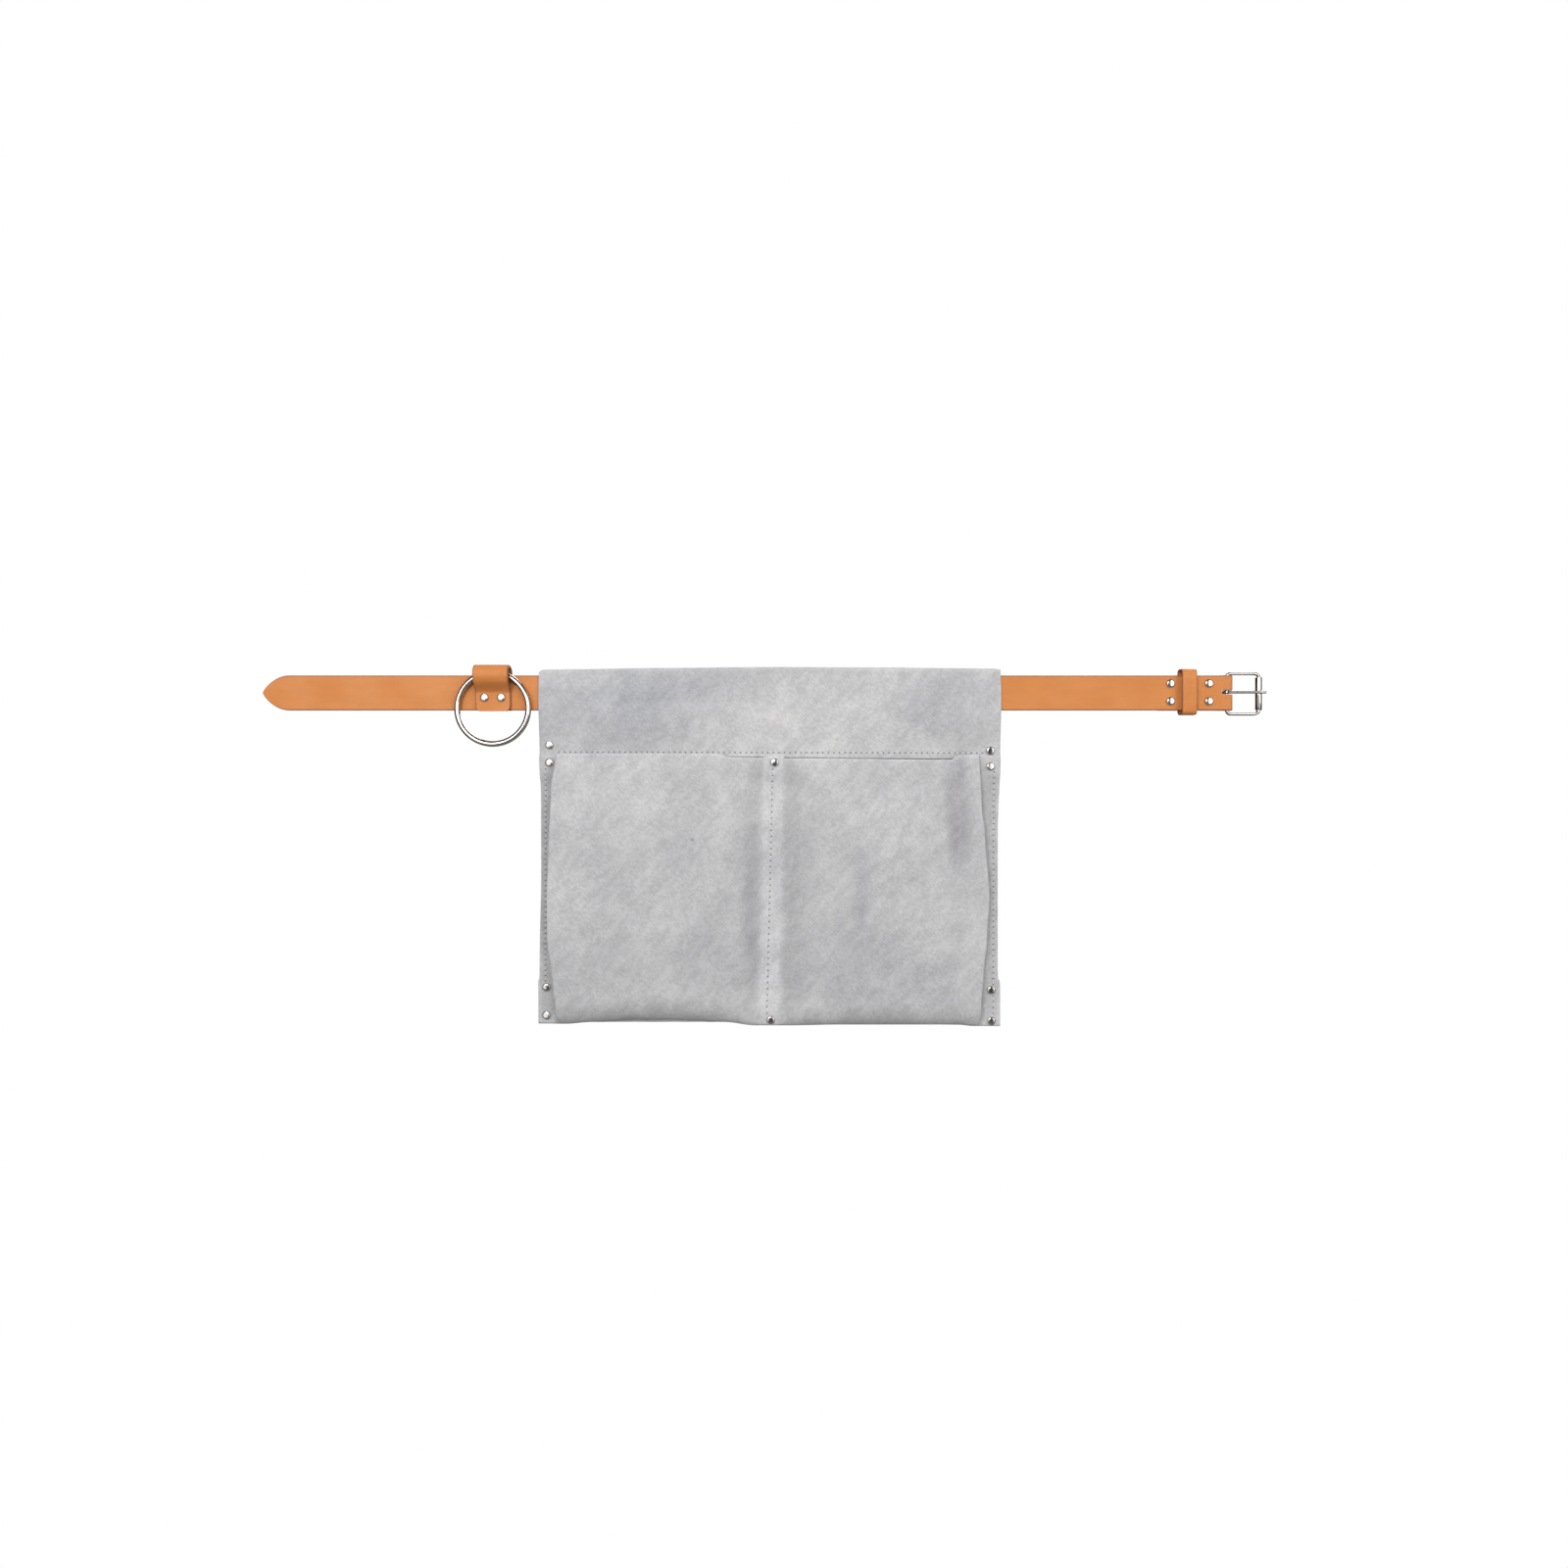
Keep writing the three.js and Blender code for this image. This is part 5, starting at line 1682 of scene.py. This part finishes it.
@dataclass
class Keeper:
    """The leather keeper loop, and the staple that joins its ends at the back."""

    leather: bpy.types.Material
    metal: bpy.types.Material
    thickness: float = 2.4
    corner: float = 4.0
    gap: float = 0.3
    bow: float = 0.5

    def build(self) -> None:
        """Builds the loop and its staple."""
        box = Extent.of("keeper")
        x, z = box.centre.x / MM, box.centre.z / MM
        front = box.low.y / MM + self.thickness / 2
        back = box.high.y / MM - self.thickness / 2
        half = box.size.z / 2 / MM - self.thickness / 2
        straight = half - self.corner
        up = spread(3, straight, 4)
        flat = [Vector((back, self.gap / 2))] + [Vector((back, h)) for h in up]
        for centre_y, sign_z, start in (
            (back - self.corner, 1, 0.0), (front + self.corner, 1, 0.5),
            (front + self.corner, -1, 1.0), (back - self.corner, -1, 1.5),
        ):
            for i in range(9):
                angle = math.pi * (start + 0.5 * i / 8)
                out, rise = self.corner * math.cos(angle), self.corner * math.sin(angle)
                flat.append(Vector((centre_y + out, sign_z * straight + rise)))
            if start == 0.5:
                for h in spread(straight - 2, -straight, 8):
                    flat.append(Vector((front - self.bow * math.cos(h / half * math.pi / 2), h)))
        flat += [Vector((back, -h)) for h in reversed(up)] + [Vector((back, -self.gap / 2))]
        path = [Vector((x, point.x, point.y + z)) * MM for point in flat]
        section = Section.strip(box.size.x / MM, self.thickness, 0.5, 1.3)
        shape = Shape().sweep(section, strip_stations(path, Vector((1, 0, 0))))
        piece = shape.close().soften().piece("keeper_tanned", [self.leather])
        settle(piece, Body.KEEPER, Slot.STRAP, "keeper")
        self.build_staple()

    def build_staple(self) -> None:
        """Builds the staple."""
        box = Extent.of("keeper_staple")
        wire = box.size.x
        crown = box.high.y - wire / 2
        reach = box.size.z / 2 - wire / 2
        middle = box.centre
        legs = box.low.y
        path = [
            Vector((middle.x, legs, middle.z + reach)),
            Vector((middle.x, crown - wire, middle.z + reach)),
            Vector((middle.x, crown, middle.z + reach - wire)),
            Vector((middle.x, crown, middle.z - reach + wire)),
            Vector((middle.x, crown - wire, middle.z - reach)),
            Vector((middle.x, legs, middle.z - reach)),
        ]
        path = smooth_path(path, 3)
        scales = [0.35] + [1.0] * (len(path) - 2) + [0.35]
        stations = wire_stations(path, Vector((1, 0, 0)), scales)
        shape = Shape().sweep(Section.round_wire(wire / MM, 10), stations)
        piece = shape.close().soften(60).piece("staple_plated", [self.metal])
        settle(piece, Body.KEEPER, Slot.RIVET, "keeper_staple")


@dataclass
class Buckle:
    """The roller buckle: a wire frame, the sleeve that rolls on its outer bar, and the tongue."""

    metal: bpy.types.Material
    heel_x: float = 497.0
    heel_y: float = -1.95
    reach: float = 34.5
    wire: float = 3.8
    corner: float = 3.5
    sweep_run: float = 7.0
    hang: float = -0.6
    half: float = 22.0
    roller_diameter: float = 7.0
    roller_length: float = 36.0
    tongue_wire: float = 3.4
    tongue_z: float = 0.8
    tongue_wrap: Point = (35.0, 270.0)
    tongue_overhang: float = 6.2
    tongue_drop: float = 0.6
    play: float = 0.3

    def build(self) -> None:
        """Builds the three pieces."""
        self.build_frame()
        self.build_roller()
        self.build_tongue()

    def build_frame(self) -> None:
        """Builds the wire frame."""
        high = self.half - self.corner
        corners = (
            (self.reach - self.sweep_run, high, self.sweep_run),
            (self.corner, high, self.corner),
            (self.corner, -high, self.corner),
            (self.reach - self.sweep_run, -high, self.sweep_run),
        )
        heel = Vector((self.heel_x, self.heel_y, self.hang))
        stations = []
        for quarter, (x, z, run) in enumerate(corners):
            for i in range(10):
                angle = math.pi / 2 * (quarter + i / 9)
                middle = Vector((x + run * math.cos(angle), 0, z + self.corner * math.sin(angle)))
                out = Vector((self.corner * math.cos(angle), 0, run * math.sin(angle))).normalized()
                stations.append(ring_station(out, (middle + heel) * MM))
        shape = Shape().sweep(Section.round_wire(self.wire, 18), stations, closed=True)
        piece = shape.close().soften(180).piece("frame_polished", [self.metal])
        settle(piece, Body.FRAME, Slot.NICKEL, "buckle_frame")

    def build_roller(self) -> None:
        """Builds the sleeve, with rolled-in ends."""
        outer = self.roller_diameter / 2
        inner = self.wire / 2 + self.play
        half = self.roller_length / 2
        lip, crown = 0.6, 0.18
        profile = [
            (inner, -half), (outer - lip, -half), (outer - crown, -half + crown), (outer, -half + lip),
            (outer, half - lip), (outer - crown, half - crown), (outer - lip, half), (inner, half),
            (inner, -half),
        ]
        centre = Vector((self.heel_x + self.reach, self.heel_y, self.hang)) * MM
        shape = Shape().turn(profile, centre, Vector((0, 0, 1)), 32)
        piece = shape.close().soften(50).piece("sleeve_polished", [self.metal])
        settle(piece, Body.ROLLER, Slot.NICKEL, "buckle_roller")

    def build_tongue(self) -> None:
        """Builds the tongue, which loops round the heel bar and ends over the roller."""
        loop = self.wire / 2 + self.play + self.tongue_wire / 2
        on_roller = -(self.roller_diameter / 2 + self.play + self.tongue_wire / 2)
        flat = []
        for i in range(15):
            angle = math.radians(lerp(*self.tongue_wrap, i / 14))
            flat.append((loop * math.cos(angle), loop * math.sin(angle)))
        lead = [Vector((x, y, 0)) for x, y in flat[:-1]]
        rest = smooth_path(
            [
                Vector((flat[-1][0], flat[-1][1], 0)),
                Vector((self.reach / 3, -loop + (on_roller + loop) / 3, 0)),
                Vector((self.reach - 2, on_roller, 0)),
                Vector((self.reach + 2, on_roller, 0)),
                Vector((self.reach + self.tongue_overhang - 1, on_roller + self.tongue_drop * 0.75, 0)),
                Vector((self.reach + self.tongue_overhang, on_roller + self.tongue_drop, 0)),
            ],
            6,
        )
        path = [(point + Vector((self.heel_x, self.heel_y, self.tongue_z))) * MM for point in lead + rest]
        scales = [1.0] * len(path)
        for back, scale in enumerate((0.3, 0.62, 0.82, 0.93, 0.98)):
            scales[-1 - back] = scale
        scales[0] = 0.6
        stations = wire_stations(path, Vector((0, 0, 1)), scales)
        shape = Shape().sweep(Section.round_wire(self.tongue_wire, 16), stations)
        piece = shape.close().soften(70).piece("tongue_polished", [self.metal])
        settle(piece, Body.TONGUE, Slot.NICKEL, "buckle_tongue")


# ---------------------------------------------------------------- studio


@dataclass
class Studio:
    """The camera, a pale floor and soft light."""

    camera_x: float = 14.9
    camera_y: float = -1306.0
    camera_z: float = -98.9
    lens: float = 27.5
    floor_z: float = -1000.0
    floor_size: float = 3.2
    gap_aside: float = 0.02
    panel_glow: float = 1.25
    mirror_glow: float = 1.3
    mirror_dark: float = 0.05
    light_aim: tuple[float, float, float] = (0.0, 0.0, -0.15)

    def build(self) -> None:
        """Builds the studio."""
        self.build_camera()
        self.build_floor()
        self.build_world()
        self.light("key", (-0.75, -2.9, 0.85), 1.5, 45.0)
        self.light("fill", (2.2, -2.2, 0.5), 2.0, 18.0)
        self.light("rear", (0.9, 2.4, 1.6), 2.2, 80.0)

    def build_camera(self) -> None:
        """Sets the camera square to the apron's front."""
        data = bpy.data.cameras.new("camera")
        data.lens = self.lens
        data.sensor_width = 36.0
        data.clip_start = 0.01
        camera = bpy.data.objects.new("camera", data)
        camera.location = Vector((self.camera_x, self.camera_y, self.camera_z)) * MM
        camera.rotation_euler = (math.pi / 2, 0, 0)
        bpy.context.scene.collection.objects.link(camera)
        bpy.context.scene.camera = camera

    def build_floor(self) -> None:
        """Lays the floor."""
        shape = Shape()
        bmesh.ops.create_grid(shape.mesh, x_segments=1, y_segments=1, size=self.floor_size / 2)
        bmesh.ops.translate(shape.mesh, verts=shape.mesh.verts[:], vec=(0, 0, self.floor_z * MM))
        tree, shader = shaded("pale floor")
        shader.inputs["Base Color"].default_value = (0.16, 0.16, 0.16, 1)
        shader.inputs["Roughness"].default_value = 0.9
        glow = tree.add("ShaderNodeEmission", {"Color": (1, 1, 1, 1), "Strength": 1.0})
        seen = tree.add("ShaderNodeLightPath").outputs["Is Camera Ray"]
        both = tree.add("ShaderNodeMixShader", {0: seen, 1: shader.outputs[0], 2: glow.outputs[0]})
        tree.link(both.outputs[0], tree.tree.nodes["Material Output"].inputs["Surface"])
        shape.piece("floor", [bpy.data.materials["pale floor"]])

    def build_world(self) -> None:
        """Sets a white backdrop, a soft room for the matt pieces and panels for the metal to mirror."""
        world = bpy.data.worlds.new("studio")
        bpy.context.scene.world = world
        world.use_nodes = True
        tree = Tree(world.node_tree)
        backdrop = world.node_tree.nodes["Background"]
        backdrop.inputs["Color"].default_value = (1, 1, 1, 1)
        view = tree.add("ShaderNodeTexCoord").outputs["Generated"]
        way = tree.add("ShaderNodeSeparateXYZ", {0: view}).outputs
        aside = tree.math("ABSOLUTE", tree.math("SUBTRACT", way[0], self.gap_aside))
        gap = tree.remap(aside, 0.18, 0.29, 0.0, 1.0)
        soft = tree.remap(way[1], -0.45, -0.1, self.panel_glow, 0.0)
        fades = ((aside, 0.5, 0.8, 0.3), (way[2], 0.3, 0.6, 0.5), (way[2], -0.2, -0.42, 0.1))
        for value, low, high, last in fades:
            soft = tree.math("MULTIPLY", soft, tree.remap(value, low, high, 1.0, last))
        soft = tree.math("ADD", tree.math("MULTIPLY", soft, gap), tree.remap(way[2], -0.05, 0.75, 0.1, 0.5))
        hard = tree.remap(way[1], -0.84, -0.62, self.mirror_glow, 0.0)
        hard = tree.math("MULTIPLY", hard, tree.remap(way[2], -0.24, -0.36, 1.0, 0.06))
        hard = tree.math("ADD", tree.math("MULTIPLY", hard, gap), self.mirror_dark)
        glossy = tree.add("ShaderNodeLightPath").outputs["Is Glossy Ray"]
        shade = tree.math("ADD", soft, tree.math("MULTIPLY", glossy, tree.math("SUBTRACT", hard, soft)))
        room = tree.add("ShaderNodeBackground", {"Color": (1.0, 0.995, 0.99, 1), "Strength": shade})
        seen = tree.add("ShaderNodeLightPath").outputs["Is Camera Ray"]
        both = tree.add("ShaderNodeMixShader", {0: seen, 1: room.outputs[0], 2: backdrop.outputs[0]})
        tree.link(both.outputs[0], world.node_tree.nodes["World Output"].inputs["Surface"])
        bpy.context.scene.view_settings.view_transform = "Standard"

    def light(self, name: str, place: tuple[float, float, float], size: float, power: float) -> None:
        """Hangs a soft light that faces the apron.

        Args:
            name: Its name.
            place: Where it hangs, in metres.
            size: Its side, in metres.
            power: Its power, in watts.
        """
        data = bpy.data.lights.new(name, "AREA")
        data.shape = "SQUARE"
        data.size = size
        data.energy = power
        lamp = bpy.data.objects.new(name, data)
        lamp.location = place
        aim = Vector(self.light_aim) - Vector(place)
        lamp.rotation_euler = aim.to_track_quat("-Z", "Y").to_euler()
        bpy.context.scene.collection.objects.link(lamp)


# ---------------------------------------------------------------- tones

WARM_DARK = (0.86, 0.855, 0.865)
COOL_DARK = (0.83, 0.845, 0.875)
TONES = (
    Tone(-170, -20, 110, 60, COOL_DARK, 0.85),
    Tone(-110, 8, 90, 34, COOL_DARK, 0.7),
    Tone(190, -12, 70, 46, COOL_DARK, 0.65),
    Tone(30, -36, 110, 50, (1.13, 1.13, 1.11), 0.9),
    # painted shade: these two patches darken the foot, where the hide turns under
    Tone(-130, -362, 135, 36, (0.74, 0.73, 0.725), 0.9),
    Tone(110, -364, 145, 34, (0.78, 0.77, 0.765), 0.85),
    Tone(-60, -268, 46, 70, WARM_DARK, 0.4),
    # painted shade on the left pocket's flank beside the channel
    Tone(-20, -230, 15, 120, WARM_DARK, 0.5),
    # painted shade: these two patches darken the right pocket's soft fold and the crease at x 97
    Tone(203, -128, 16, 104, (0.74, 0.73, 0.74), 0.95),
    Tone(97, -205, 12, 100, (0.81, 0.81, 0.83), 0.6),
    Tone(0, -215, 340, 155, (0.92, 0.92, 0.925), 0.9),
    # painted shade: these two patches darken the lower pockets
    Tone(-130, -300, 150, 58, (0.90, 0.895, 0.90), 0.75),
    Tone(110, -305, 155, 62, (0.87, 0.865, 0.875), 0.8),
    Tone(-84, -159, 3.5, 2.5, (0.6, 0.6, 0.62), 0.9),
    Tone(-215, -110, 40, 60, (1.05, 1.045, 1.05), 0.5),
    Tone(60, -110, 60, 60, (1.04, 1.045, 1.04), 0.5),
)


def main() -> None:
    """Builds every piece in order, then the studio."""
    logging.basicConfig(level=logging.INFO, format="%(name)s: %(message)s")
    effects = Effects()
    suede = SuedeFinish(effects, TONES, list(SEAM_ROWS.values())).build()
    cut_edge = CutSuedeFinish(effects).build()
    leather = StrapFinish(effects).build()
    nickel = NickelFinish(effects, "polished nickel", (0.66, 0.63, 0.60), 0.08, 0.16).build()
    rubbed_and_highlight = NickelFinish(effects, "rivet nickel", (0.66, 0.64, 0.62), 0.12, 0.22).build()
    thread = ThreadFinish(effects).build()

    ApronBack(suede, cut_edge).build()
    panel = PocketPanel(suede, cut_edge)
    panel.build()
    Seams(thread, panel).build()
    Rivets(rubbed_and_highlight).build()
    belt = Belt(leather)
    belt.build_strap()
    belt.build_tab()
    Ring(nickel).build()
    Keeper(leather, rubbed_and_highlight).build()
    Buckle(nickel).build()
    Studio().build()


if __name__ == "__main__":
    main()
